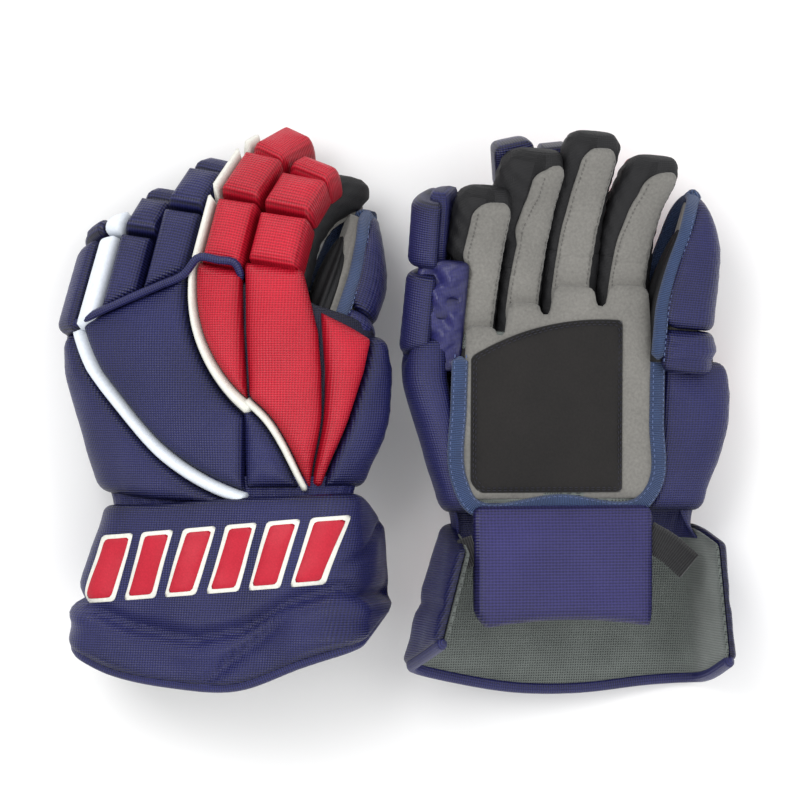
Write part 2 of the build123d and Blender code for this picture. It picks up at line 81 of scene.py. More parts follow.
# degrees: the fingers' lean to the side, the bends at knuckle, middle joint and tip, and the thumb's
POSTURES = {
    "left": {"lean": 9, "mcp": 18, "pip": 32, "tip": 26, "thumb": 30},
    "right": {"lean": 4, "mcp": 6, "pip": 10, "tip": 12, "thumb": 4},
}
# sideways lean of a finger's rolls past its knuckle and past its middle joint, and the same of its stall
YAW = {"left": {"ring": (2, 4), "middle": (6, 14), "index": (4, 12)},
       "right": {"little": (-4, 0), "ring": (-9, -8), "middle": (-6, -5), "index": (8, 4)}}
STALL_YAW = {"left": {"ring": (2, 4), "middle": (6, 14), "index": (6, 20)},
             "right": {"ring": (2, 3), "middle": (2, 3), "index": (6, 10)}}
# half width of a finger's suede strip, and how far aside it lies at its knuckle and at its tip
STRIPS = {"little": (9.4, -1.0, 2.5), "ring": (9.4, 0.5, 7.0), "middle": (10.6, -1.5, 4.0), "index": (11.0, 0.5, 7.0)}
# how much wider the right glove's fingertip is on the little finger's side
BULGE = {"little": 9.0, "ring": 11.0}
# how far the soft fingertip reaches past the CAD's
TIP_EXTRA = {"left": {"little": 0.0, "ring": 3.0, "middle": 6.3, "index": 13.0},
             "right": {"little": 12.0, "ring": 10.0, "middle": 10.0, "index": 8.0}}
# how much further on the knuckle crease lies, and how far it slants across the finger
ON = {"little": 0.0, "ring": 0.0, "middle": 3.0, "index": 6.0}
SLANT = {"little": 0.65, "ring": 0.6, "middle": 0.0, "index": 0.0}
# how much longer the second roll and the tip's roll are than the CAD's
STRETCH = {"left": {"middle": (5.0, 12.0), "index": (1.0, -3.0)},
           "right": {"little": (0.0, 6.0), "ring": (2.0, 10.0), "middle": (0.0, 2.0)}}
# how many degrees straighter a finger's padding lies at its middle joint and at its tip
UNBEND = {"left": {"middle": (6, 12), "index": (5, 12)}, "right": {}}
WRIST = {"left": 3.5, "right": -7.0}  # where the hand's padding ends
CREASE_BACK = 3.5
CREASE_FRONT = 5.0
GAP = 0.4  # between neighbouring rolls
JOINT_HALF = 11.0  # half the length about a joint that the two points of joint() span
CUFF_BACK, CUFF_RISE, CUFF_RISE_LENGTH = 37.0, 6.0, 113.0  # its back at the wrist, and how it rises along its length
CUFF_HALF_THICK, CUFF_CORNER, CUFF_FLARE_LENGTH = 3.5, 16.0, 92.0
THUMB_INSIDE = THUMB_WIDTH - 5.0
ROUNDNESS = 2.3  # of a padded edge: 2 is a quarter circle, more is squarer


# ---------------------------------------------------------------- frames
def move(x, y, z):
    m = np.eye(4)
    m[:3, 3] = x, y, z
    return m


def turn(axis, degrees):
    """Rotation about x (0), y (1) or z (2)."""
    m, c, s = np.eye(4), math.cos(math.radians(degrees)), math.sin(math.radians(degrees))
    i, j = [(1, 2), (2, 0), (0, 1)][axis]
    m[i, i], m[i, j], m[j, i], m[j, j] = c, -s, s, c
    return m


def apply(m, points):
    return points @ m[:3, :3].T + m[:3, 3]


class Glove:
    """One glove: its hand frame in the world, and its finger and thumb frames in the hand frame."""

    def __init__(self, name):
        joints = {j["name"]: j for j in frame["joints"]}
        flap, cuff = joints[f"{name}_flap_hinge"], joints[f"{name}_cuff_hinge"]
        self.name, self.posture = name, POSTURES[name]
        sign = 1 if name == "left" else -1
        x, y = sign * np.array(cuff["axis"]), np.array([0.0, 1.0, 0.0])
        low, high = np.array(flap["pos_m"]) / MM, np.array(cuff["pos_m"]) / MM
        z = (high - low - 10 * x + 9 * y) / 33.5
        self.axes, self.origin = np.array([x, y, z]), low + 15.5 * z
        p = self.posture
        self.block = move(0, HAND_LENGTH, KNUCKLE_Z) @ turn(2, -p["lean"])
        self.first, self.second, self.tip = {}, {}, {}
        for finger, (across, _, knuckle, proximal, middle, _) in FINGERS.items():
            self.first[finger] = self.block @ move(across, knuckle, 0) @ turn(0, -p["mcp"])
            yaw = YAW[name].get(finger, (0, 0))
            ease = UNBEND[name].get(finger, (0, 0))
            stretch = STRETCH[name].get(finger, (0, 0))[0]
            self.second[finger] = (self.first[finger] @ move(0, proximal, 0) @ turn(0, ease[0] - p["pip"])
                                   @ turn(2, -yaw[0]))
            self.tip[finger] = (self.second[finger] @ move(0, middle + stretch, ROLL_BASE) @ turn(2, -yaw[1])
                                @ turn(0, ease[1] - p["tip"]))
        self.thumb = self.block @ move(BLOCK_RIGHT + 2, -14, -8) @ turn(0, -p["thumb"])
        self.thumb = self.thumb @ move(17, 0, 0) @ turn(1, 34 if name == "left" else 0) @ move(-17, 0, 0)

    def world(self, points):
        return (np.asarray(points) @ self.axes + self.origin) * MM


    def fold(self, matrix, start, end):
        """Start and end, put through the matrix and taken to the world."""
        return self.world(apply(matrix, np.array([start, end], float)))

    def joint(self, matrix):
        return self.fold(matrix, (0, -JOINT_HALF, 0), (0, JOINT_HALF, 0))


# ---------------------------------------------------------------- plane outlines
def rounded(points, radius, n=6):
    """A closed outline with its corners rounded."""
    points, out = np.array(points, float), []
    for a, b, c in zip(np.roll(points, 1, 0), points, np.roll(points, -1, 0)):
        u, v = a - b, c - b
        lu, lv = np.hypot(*u) + 1e-9, np.hypot(*v) + 1e-9
        r = min(radius, lu * 0.45, lv * 0.45)
        p, q = b + u / lu * r, b + v / lv * r
        out += [(1 - t) ** 2 * p + 2 * t * (1 - t) * b + t * t * q for t in np.linspace(0, 1, n)]
    return np.array(out)


def resample(points, step, closed=True):
    """Points evenly spaced along a line, its sharp corners kept only as near as the step."""
    points = np.array(points, float)
    if closed:
        points = np.vstack([points, points[:1]])
    run = np.r_[0, np.cumsum(np.linalg.norm(np.diff(points, axis=0), axis=1))]
    n = max(4, int(round(run[-1] / step)))
    at = np.linspace(0, run[-1], n + 1)
    out = np.stack([np.interp(at, run, points[:, k]) for k in range(points.shape[1])], 1)
    return out[:-1] if closed else out


def arc(start, through, end, n=24):
    """Points on the circle through three points."""
    (ax, ay), (bx, by), (cx, cy) = start, through, end
    d = 2 * (ax * (by - cy) + bx * (cy - ay) + cx * (ay - by))
    ux = ((ax**2 + ay**2) * (by - cy) + (bx**2 + by**2) * (cy - ay) + (cx**2 + cy**2) * (ay - by)) / d
    uy = ((ax**2 + ay**2) * (cx - bx) + (bx**2 + by**2) * (ax - cx) + (cx**2 + cy**2) * (bx - ax)) / d
    a0, a1, a2 = (math.atan2(y - uy, x - ux) for x, y in (start, through, end))
    turn_by = (a2 - a0) % (2 * math.pi)
    if (a1 - a0) % (2 * math.pi) > turn_by:
        turn_by -= 2 * math.pi
    r = math.hypot(ax - ux, ay - uy)
    angles = a0 + np.linspace(0, 1, n) * turn_by
    return np.stack([ux + r * np.cos(angles), uy + r * np.sin(angles)], 1)


def spline(points, n=60):
    """A smooth line through points."""
    points = np.array(points, float)
    run = np.r_[0, np.cumsum(np.linalg.norm(np.diff(points, axis=0), axis=1))]
    slope = np.gradient(points, run, axis=0)
    at = np.linspace(0, run[-1], n)
    k = np.clip(np.searchsorted(run, at) - 1, 0, len(run) - 2)
    w = (run[k + 1] - run[k])[:, None]
    t = (at - run[k])[:, None] / w
    return ((2 * t**3 - 3 * t**2 + 1) * points[k] + (t**3 - 2 * t**2 + t) * w * slope[k]
            + (3 * t**2 - 2 * t**3) * points[k + 1] + (t**3 - t**2) * w * slope[k + 1])


def offset_line(line, by):
    """An open plane line moved sideways, to its left; by may change along it."""
    t = np.gradient(line, axis=0)
    t /= np.linalg.norm(t, axis=1)[:, None] + 1e-9
    return line + np.stack([-t[:, 1], t[:, 0]], 1) * np.reshape(by, (-1, 1))


def inside(points, poly):
    a, b = poly, np.roll(poly, -1, 0)
    x, y = points[:, :1], points[:, 1:]
    crosses = (a[:, 1] > y) != (b[:, 1] > y)
    at = (b[:, 0] - a[:, 0]) * (y - a[:, 1]) / (b[:, 1] - a[:, 1] + 1e-12) + a[:, 0]
    return (crosses & (x < at)).sum(1) % 2 == 1


def distance(points, poly):
    """How far points are from a closed outline."""
    a, d = poly, np.roll(poly, -1, 0) - poly
    out = np.empty(len(points))
    for k in range(0, len(points), 400):
        r = points[k:k + 400, None] - a
        t = np.clip((r * d).sum(2) / ((d * d).sum(1) + 1e-12), 0, 1)
        out[k:k + 400] = np.sqrt(((r - t[..., None] * d) ** 2).sum(2)).min(1)
    return out


def fill(outline, step, rings, edge_step):
    """Points and triangles that fill an outline, with rows of points that follow its edge."""
    edge = resample(outline, edge_step)
    ahead = np.roll(edge, -1, 0) - np.roll(edge, 1, 0)
    if (edge[:, 0] * np.roll(edge[:, 1], -1) - edge[:, 1] * np.roll(edge[:, 0], -1)).sum() < 0:
        ahead = -ahead
    inward = np.stack([-ahead[:, 1], ahead[:, 0]], 1) / (np.linalg.norm(ahead, axis=1)[:, None] + 1e-9)
    points = [edge]
    for d in rings:
        row = edge + inward * d
        row = row[inside(row, edge)]
        points.append(row[distance(row, edge) > 0.96 * d])
    low, high = edge.min(0), edge.max(0)
    xs, ys = np.arange(low[0], high[0], step), np.arange(low[1], high[1], step * 0.87)
    grid = np.array([(x + (j % 2) * step / 2, y) for j, y in enumerate(ys) for x in xs]).reshape(-1, 2)
    if len(grid):
        grid = grid[inside(grid, edge)]
        points.append(grid[distance(grid, edge) > rings[-1] + step * 0.5])
    points = np.vstack(points)
    n = len(edge)
    made = geometry.delaunay_2d_cdt([Vector(p) for p in points], [(i, (i + 1) % n) for i in range(n)], [], 1, 1e-4)
    return np.array([tuple(v) for v in made[0]]), [tuple(f) for f in made[2]], edge


def wobble(points, seed, lengths=(70, 38, 21)):
    """A smooth uneven height, about -1 to 1, that is the same on each run."""
    rng, total = np.random.default_rng(seed), 0.0
    for length in lengths:
        for _ in range(2):
            a = rng.uniform(0, 2 * math.pi)
            total = total + np.sin(points @ np.array([math.cos(a), math.sin(a)]) * 2 * math.pi / length
                                   + rng.uniform(0, 6)) * length / lengths[0]
    return total / 2.5

def circle(m):
    """Cosine and sine at m even steps round a circle."""
    angle = np.arange(m) / m * 2 * math.pi
    return np.cos(angle), np.sin(angle)


def signed(x, power):
    return np.sign(x) * np.abs(x) ** power


def bell(x, middle, width):
    return np.exp(-((x - middle) / width) ** 2)


def unit(v):
    return np.array(v) / np.linalg.norm(v)


# ---------------------------------------------------------------- carriers: (u, v, h) to the hand frame
def section(points, matrix=None, zero_x=0.0, sink=0.0, lean=(0.0, 0.0), length=1.0, scale=None, droop=None,
            rounds=3):
    """A carrier that draws a section in x and z out along y. u runs along the section, from where it passes
    zero_x, v runs along y and h out of it. lean tilts the two ends of a piece of that length."""
    path = np.array(points, float)
    for _ in range(rounds):
        cut = np.empty((2 * len(path), 2))
        cut[0], cut[-1] = path[0], path[-1]
        cut[1:-1:2] = path[:-1] * 0.75 + path[1:] * 0.25
        cut[2::2] = path[:-1] * 0.25 + path[1:] * 0.75
        path = cut
    path = path[np.r_[True, np.linalg.norm(np.diff(path, axis=0), axis=1) > 1e-6]]
    step, beyond = 1.5, 30  # the section goes on straight for that many steps past each end
    path = resample(path, step, closed=False)
    ends = path[0] - (path[1] - path[0]) * beyond, path[-1] + (path[-1] - path[-2]) * beyond
    run = np.arange(len(path)) * np.linalg.norm(path[1] - path[0])
    ahead = np.gradient(path, axis=0)
    ahead /= np.linalg.norm(ahead, axis=1)[:, None]
    out = np.stack([-ahead[:, 1], ahead[:, 0]], 1)
    middle = np.argmin(np.abs(path[:, 0] - zero_x) - path[:, 1] * 1e-3 * np.sign(out[len(out) // 2, 1]))
    run = run - run[middle]
    first, last = run[0], run[-1]
    run = np.r_[run[0] - step * beyond, run, run[-1] + step * beyond]
    path, out = np.vstack([ends[0], path, ends[1]]), np.vstack([out[0], out, out[-1]])
    rear, front = (math.tan(math.radians(a)) for a in lean)

    def carrier(u, v, h):
        u, v = np.asarray(u, float), np.asarray(v, float)
        at = np.stack([np.interp(u, run, path[:, k]) for k in (0, 1)], -1)
        normal = np.stack([np.interp(u, run, out[:, k]) for k in (0, 1)], -1)
        at = at + normal * (np.asarray(h, float) - sink)[..., None]
        x, z = at[..., 0], at[..., 1]
        if scale:
            x = x * scale(x, v)
        if droop:
            z = z - droop(v)
        share = np.clip(v / length, 0, 1)
        p = np.stack([x, v + z * (rear * (1 - share) + front * share), z], -1)
        return p if matrix is None else apply(matrix, p)

    top = slice(int(np.argmin(path[:, 0])), int(np.argmax(path[:, 0])) + 1)
    carrier.u_of_x = lambda x: np.interp(x, path[top, 0], run[top])
    carrier.first, carrier.last = first, last
    return carrier


# ---------------------------------------------------------------- meshes
def build(name, glove, points, faces, uv, seam, material):
    """A mesh object from points in the hand frame, with a weave map in metres and a seam attribute: how near a pad's
    edge each point is, which the materials darken as painted shade.
    """
    mesh = bpy.data.meshes.new(name)
    mesh.from_pydata([tuple(p) for p in glove.world(points)], [], [tuple(f) for f in faces])
    layer = mesh.uv_layers.new(name="weave")
    corner = np.empty(len(mesh.loops), int)
    mesh.loops.foreach_get("vertex_index", corner)
    layer.data.foreach_set("uv", (np.asarray(uv, float)[corner] * MM).astype(np.float32).ravel())
    mesh.attributes.new("seam", "FLOAT", "POINT").data.foreach_set("value", np.asarray(seam, np.float32))
    bm = bmesh.new()
    bm.from_mesh(mesh)
    bmesh.ops.recalc_face_normals(bm, faces=bm.faces)
    bm.to_mesh(mesh)
    bm.free()
    mesh.shade_smooth()
    mesh.materials.append(material)
    obj = bpy.data.objects.new(f"{glove.name}_{name}", mesh)
    bpy.context.scene.collection.objects.link(obj)
    return obj


def pillow(name, glove, outline, carrier, material, height=10.0, edge=8.0, depth=2.0, crown=0.0, step=5.0,
           uneven=0.5, seed=1, shape=None, edge_step=2.5, seam_width=3.0, bed=None):
    """A closed padded form over an outline: it rises steeply from its edge, and is crowned in the middle.
    shape(p, d) adds to the height, and bed(p) lifts all of it."""
    rings = edge * np.array([0.03, 0.12, 0.28, 0.5, 0.8]) if edge > 3 else edge * np.array([0.15, 0.55])
    p, faces, border = fill(outline, step, rings, edge_step)
    d = distance(p, border)
    share = np.clip(d / edge, 0, 1)
    rise = (1 - (1 - share) ** ROUNDNESS) ** (1 / ROUNDNESS)
    wide = np.clip((d - edge) / max(d.max() - edge, 1e-6), 0, 1)
    top = height * rise + crown * np.sin(math.pi / 2 * wide) + uneven * wobble(p, seed) * share
    if shape:
        top = top + shape(p, d) * share
    low = -depth * rise
    if bed:
        top, low = top + bed(p), low + bed(p)
    free = np.flatnonzero(d > 1e-3)
    below = np.arange(len(p))
    below[free] = len(p) + np.arange(len(free))
    points = np.vstack([carrier(p[:, 0], p[:, 1], top), carrier(p[free, 0], p[free, 1], low[free])])
    faces = faces + [tuple(below[list(f)][::-1]) for f in faces if any(d[k] > 1e-3 for k in f)]
    uv = np.vstack([p, p[free]])
    seam = np.exp(-np.r_[d, d[free]] / seam_width)
    return build(name, glove, points, faces, uv, seam, material)


def loft(name, glove, sections, material, caps=True):
    """A tube through closed sections, each the same number of points."""
    sections = np.asarray(sections, float)
    k, m = sections.shape[:2]
    faces = [(i * m + j, i * m + (j + 1) % m, (i + 1) * m + (j + 1) % m, (i + 1) * m + j)
             for i in range(k - 1) for j in range(m)]
    if caps:
        faces += [tuple(range(m))[::-1], tuple((k - 1) * m + j for j in range(m))]
    around = np.linalg.norm(np.diff(np.concatenate([sections, sections[:, :1]], 1), axis=1), axis=2)
    around = np.cumsum(around, 1) - around[:, :1]
    along = np.r_[0, np.cumsum(np.linalg.norm(np.diff(sections.mean(1), axis=0), axis=1))]
    uv = np.stack([around, np.repeat(along[:, None], m, 1)], -1).reshape(-1, 2)
    return build(name, glove, sections.reshape(-1, 3), faces, uv, np.zeros(k * m), material)


def guide(carrier, line, lift, step=3.0, closed=False):
    """A line on a carrier: its points, the way ahead, the way out and the way across."""
    line = resample(line, step, closed)
    lift = np.interp(np.linspace(0, 1, len(line)), np.linspace(0, 1, np.size(lift)), np.ravel(lift))
    at = carrier(line[:, 0], line[:, 1], lift)
    out = carrier(line[:, 0], line[:, 1], lift + 1) - at
    out /= np.linalg.norm(out, axis=1)[:, None]
    ahead = (np.roll(at, -1, 0) - np.roll(at, 1, 0)) if closed else np.gradient(at, axis=0)
    ahead /= np.linalg.norm(ahead, axis=1)[:, None] + 1e-9
    across = np.cross(ahead, out)
    across /= np.linalg.norm(across, axis=1)[:, None] + 1e-9
    return at, ahead, out, across


def ribbon(name, glove, carrier, line, material, half_width, half_thick, lift=0.0, power=2.0, step=3.0, taper=0.0):
    """A cord, piping or tape that follows a line on a carrier."""
    at, _, out, across = guide(carrier, line, lift, step)
    c, s = (signed(w, 2 / power) for w in circle(12))
    size = np.ones(len(at))
    if taper:
        run = np.linspace(0, 1, len(at)) * len(at) * step
        near = np.minimum(run, run[::-1]) / taper
        size = np.sqrt(1 - (1 - np.clip(near, 0.02, 1)) ** 2)
    sections = (at[:, None] + across[:, None] * (c * (half_width * size)[:, None])[..., None]
                + out[:, None] * (s * (half_thick * size)[:, None])[..., None])
    return loft(name, glove, sections, material)


def stitches(name, glove, runs, material, pitch=3.6, length=2.4, radius=0.42):
    """Separate thread stitches along lines; runs is a list of (carrier, line, lift, closed)."""
    points, faces = [], []
    ring = np.arange(6) / 6 * 2 * math.pi
    for carrier, line, lift, closed in runs:
        at, ahead, out, across = guide(carrier, line, lift, pitch, closed)
        for p, a, o, c in zip(at, ahead, out, across):
            start = len(points)
            p = p - o * 0.1
            points.append(p - a * length / 2)
            for t in (-0.32, 0.32):  # the thread is thickest there, and pointed at its ends
                points += [p + a * length * t + (o * math.sin(g) + c * math.cos(g)) * radius * 0.85 for g in ring]
            points.append(p + a * length / 2)
            last = start + 13
            for j in range(6):
                k = (j + 1) % 6
                faces += [(start, start + 1 + k, start + 1 + j), (last, start + 7 + j, start + 7 + k),
                          (start + 1 + j, start + 1 + k, start + 7 + k, start + 7 + j)]
    return build(name, glove, np.array(points), faces, np.zeros((len(points), 2)), np.zeros(len(points)), material)


def keep(obj, at, stands_for=None):
    """Puts a piece on its body, or, for a piece between two bodies, fixes it where it is in the world, and hides the
    CAD part that it stands for.
    """
    side = obj.name.partition("_")[0]
    if isinstance(at, str):
        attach(obj, f"{side}_{at}")
    else:
        near, far, start, end = at
        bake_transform(obj)
        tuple(start)
        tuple(end)
    if stands_for:
        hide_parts(f"{side}_{stands_for}")
    return obj


# ---------------------------------------------------------------- materials
class Shader:
    """A material whose nodes are added one by one."""

    def __init__(self, name, **constants):
        self.material = bpy.data.materials.new(name)
        self.material.use_nodes = True
        self.tree = self.material.node_tree
        self.surface = self.tree.nodes["Principled BSDF"]
        for socket, value in constants.items():
            self.surface.inputs[socket.replace("_", " ")].default_value = value

    def node(self, kind, *inputs, **settings):
        node = self.tree.nodes.new("ShaderNode" + kind)
        for name, value in settings.items():
            setattr(node, name, value)
        for k, value in enumerate(inputs):
            self.put(node.inputs[k], value)
        return node

    def put(self, socket, value):
        if isinstance(value, bpy.types.NodeSocket):
            self.tree.links.new(value, socket)
        elif value is not None:
            socket.default_value = value

    def math(self, operation, *inputs):
        return self.node("Math", *inputs, operation=operation).outputs[0]

    def add(self, a, b):
        return self.math("ADD", a, b)

    def minus(self, a, b):
        return self.math("SUBTRACT", a, b)

    def times(self, a, b):
        return self.math("MULTIPLY", a, b)

    def scaled(self, value, by, plus):
        return self.math("MULTIPLY_ADD", value, by, plus)

    def clamp(self, value):
        return self.node("Clamp", value).outputs[0]

    def range(self, value, low, high, to_low=0.0, to_high=1.0):
        return self.node("MapRange", value, low, high, to_low, to_high, interpolation_type="SMOOTHSTEP").outputs[0]

    def mix(self, share, a, b):
        node = self.tree.nodes.new("ShaderNodeMix")
        node.data_type = "RGBA"
        self.put(node.inputs[0], share)
        self.put(node.inputs[6], a)
        self.put(node.inputs[7], b)
        return node.outputs[2]

    def noise(self, scale, detail=2.0):
        node = self.node("TexNoise", self.node("TexCoord").outputs["Object"])
        node.inputs["Scale"].default_value = scale
        node.inputs["Detail"].default_value = detail
        return node.outputs[0]

    def uv(self):
        split = self.node("SeparateXYZ", self.node("UVMap", uv_map="weave").outputs[0])
        return split.outputs[0], split.outputs[1]

    def wave(self, value, pitch_mm):
        """Sine of a length in metres, with that pitch."""
        return self.math("SINE", self.math("MULTIPLY_ADD", value, 2 * math.pi / (pitch_mm * MM), 0.0))

    # how near a pad's edge a point is; the materials darken it there as painted shade
    def seam(self):
        return self.node("Attribute", attribute_name="seam").outputs["Fac"]

    def finish(self, color, height, distance_mm):
        self.put(self.surface.inputs["Base Color"], color)
        bump = self.node("Bump")
        bump.inputs["Strength"].default_value = 1.0
        bump.inputs["Distance"].default_value = distance_mm * MM
        self.put(bump.inputs["Height"], height)
        self.put(self.surface.inputs["Normal"], bump.outputs[0])
        return self.material


def rgb(r, g, b):
    """A colour given in 0 to 255 display values."""
    return tuple((c / 255 / 12.92 if c <= 10 else ((c / 255 + 0.055) / 1.055) ** 2.4) for c in (r, g, b)) + (1.0,)


def woven(name, dark, light, pitch=1.5, rough=0.5, sheen=0.35, bump=0.22):
    """Coarse basket weave with a satin face: rows of small raised cells, darker between them, and darker near a pad's
    edge as painted shade in the seams.
    """
    s = Shader(name, Roughness=rough, Sheen_Weight=sheen, Sheen_Roughness=0.35, Specular_IOR_Level=0.35)
    s.surface.inputs["Sheen Tint"].default_value = light
    u, v = s.uv()
    rows, columns = s.wave(v, pitch), s.wave(u, pitch * 1.15)
    cell = s.add(s.times(rows, 0.55), s.times(columns, 0.35))
    fine = s.noise(900.0, 2.0)
    tone = s.add(s.range(cell, -0.9, 0.8, 0.15, 0.75), s.scaled(s.noise(22.0, 3.0), 0.5, -0.25))
    tone = s.add(tone, s.scaled(fine, 0.3, -0.15))
    # painted shade: the weave is darkened near a pad's edge, where the seams between pads lie
    tone = s.minus(tone, s.times(s.seam(), 0.45))
    height = s.add(cell, s.times(fine, 0.5))
    tone = s.clamp(tone)
    return s.finish(s.mix(tone, dark, light), height, bump)


def hide(name, dark, light, grain=700.0, rough=0.45, bump=0.12, sheen=0.0, soil_and_seam_shade=0.3):
    """Leather or suede: fine grain, with broad patches where it is rubbed or soiled, and darker near a pad's edge as
    painted shade in the seams.
    """
    s = Shader(name, Roughness=rough, Sheen_Weight=sheen, Sheen_Roughness=0.5, Specular_IOR_Level=0.3)
    fine, broad = s.noise(grain, 4.0), s.noise(28.0, 4.0)
    tone = s.add(s.times(fine, 0.7), s.scaled(broad, soil_and_seam_shade * 2, 0.15 - soil_and_seam_shade))
    # painted shade: darker near a pad's edge, in the seams between pads, by the same share as the soiled patches
    tone = s.minus(tone, s.times(s.seam(), soil_and_seam_shade))
    tone = s.clamp(tone)
    return s.finish(s.mix(tone, dark, light), s.add(fine, s.times(broad, 0.6)), bump)


def ribbed(name, dark, light, pitch=1.1):
    """Ribbed tape or elastic, its ribs across its length."""
    s = Shader(name, Roughness=0.7, Sheen_Weight=0.2, Specular_IOR_Level=0.25)
    u, v = s.uv()
    ribs, cross = s.wave(v, pitch), s.wave(u, pitch * 0.6)
    height = s.add(ribs, s.times(cross, 0.3))
    tone = s.add(s.range(height, -1.1, 1.1, 0.1, 0.8), s.scaled(s.noise(60.0, 3.0), 0.5, -0.25))
    tone = s.clamp(tone)
    return s.finish(s.mix(tone, dark, light), height, 0.25)


def dimpled(name, dark, light, pitch=3.2):
    """Spacer mesh with rows of small dark dimples, each row half a step from the last."""
    s = Shader(name, Roughness=0.75, Sheen_Weight=0.2, Specular_IOR_Level=0.25)
    u, v = s.uv()
    one = s.times(s.wave(u, pitch), s.wave(v, pitch))
    hole = s.range(s.math("ABSOLUTE", one), 0.45, 0.9)
    knit = s.wave(v, 0.7)
    tone = s.minus(s.scaled(s.noise(35.0, 3.0), 0.6, 0.45), s.times(hole, 0.6))
    # painted shade: darker near a pad's edge, in the seams between pads
    tone = s.clamp(s.minus(tone, s.times(s.seam(), 0.4)))
    height = s.minus(s.times(knit, 0.12), hole)
    return s.finish(s.mix(tone, dark, light), height, 0.5)


NAVY = woven("navy_weave", rgb(7, 8, 32), rgb(44, 46, 106), sheen=0.12, rough=0.4)
SATIN = woven("navy_satin", rgb(10, 10, 36), rgb(58, 58, 124), pitch=0.8, sheen=0.2, rough=0.28, bump=0.05)
NAVY_FLAP = woven("navy_flap_weave", rgb(16, 15, 50), rgb(56, 52, 116), pitch=1.9, rough=0.4, sheen=0.2)
RED = woven("red_weave", rgb(130, 6, 24), rgb(216, 30, 56), sheen=0.2, rough=0.42)
WHITE = hide("white_leather", rgb(196, 196, 186), rgb(246, 245, 238), grain=500, rough=0.42, bump=0.06, soil_and_seam_shade=0.12)
COOL_WHITE = hide("cool_white_leather", rgb(196, 204, 214), rgb(238, 243, 250), grain=500, rough=0.4, bump=0.06,
                  soil_and_seam_shade=0.12)
SUEDE = hide("grey_suede_nap", rgb(88, 87, 84), rgb(140, 138, 133), grain=600, rough=0.95, bump=0.1, sheen=0.2,
             soil_and_seam_shade=0.2)
PATCH = hide("palm_nubuck", rgb(9, 8, 8), rgb(33, 30, 29), grain=650, rough=0.85, bump=0.15, sheen=0.25,
             soil_and_seam_shade=0.35)
GUSSET = woven("black_nylon", rgb(4, 4, 5), rgb(32, 32, 35), pitch=0.9, rough=0.62, sheen=0.12, bump=0.1)
MESH = dimpled("mesh_lining", rgb(52, 57, 55), rgb(124, 131, 127))
TAPE = ribbed("binding_tape", rgb(26, 38, 66), rgb(66, 90, 136))
ELASTIC = ribbed("black_elastic", rgb(7, 7, 8), rgb(42, 42, 45), pitch=1.6)
THREAD = hide("navy_thread", rgb(46, 60, 96), rgb(110, 126, 168), grain=2500, rough=0.5, soil_and_seam_shade=0.1)
GREY_THREAD = hide("grey_thread", rgb(58, 57, 56), rgb(120, 118, 115), grain=2500, rough=0.6, soil_and_seam_shade=0.1)
DARK_THREAD = hide("dark_thread", rgb(14, 14, 20), rgb(50, 50, 62), grain=2500, rough=0.6, soil_and_seam_shade=0.1)
# the navy shell fabric under the seams, in a darker copy that paints the shade in the gaps between pads
SHADED_NAVY = woven("seam_cloth", rgb(8, 9, 22), rgb(26, 27, 60))
RED_FLAT = hide("red_print", rgb(150, 14, 34), rgb(206, 34, 58), grain=900, rough=0.5, bump=0.05, soil_and_seam_shade=0.15)
SLOTS = {
    "navy_fabric": (NAVY, SATIN, NAVY_FLAP, SHADED_NAVY), "red_fabric": (RED, RED_FLAT),
    "white_trim": (WHITE, COOL_WHITE), "grey_suede": (SUEDE, GREY_THREAD), "mesh_lining": (MESH,),
    "black_gusset": (GUSSET,), "black_palm_patch": (PATCH, DARK_THREAD), "black_elastic": (ELASTIC,),
    "binding_tape": (TAPE, THREAD),
}
SLOT_OF = {material.name: slot for slot, materials in SLOTS.items() for material in materials}


# ---------------------------------------------------------------- hand
def smooth(x, low, high):
    t = np.clip((np.asarray(x, float) - low) / (high - low), 0, 1)
    return t * t * (3 - 2 * t)


def hand_scale(x, y):
    """How much narrower the padding is near the wrist, on each side."""
    near = 1 - np.clip((y + 5) / 81, 0, 1)
    full = 1 + np.where(x < 0, 0.075 * smooth(y, 0, 90), 0.06 * smooth(y, 5, 50))
    return 1 + (full - 1 - np.where(x < 0, 18 / 92.1, 9 / 111.1) * near) * np.clip((np.abs(x) - 25) / 35, 0, 1)


def hand_carrier(sink):
    return section(DOME, sink=sink, scale=hand_scale, droop=lambda y: 5 * smooth(y, 95, 145))


def crease(glove, finger, shares=(0.0, 1.0), forward=CREASE_FRONT):
    """Points of a finger's knuckle crease, in plan, from its little finger's side to the thumb's."""
    across, width, knuckle, *_ = FINGERS[finger]
    dx = (np.array(shares) - 0.5) * width
    y = knuckle + forward + ON[finger] + SLANT[finger] * dx
    return apply(glove.block, np.stack([across + dx, y, 0 * dx], 1))[:, :2].tolist()


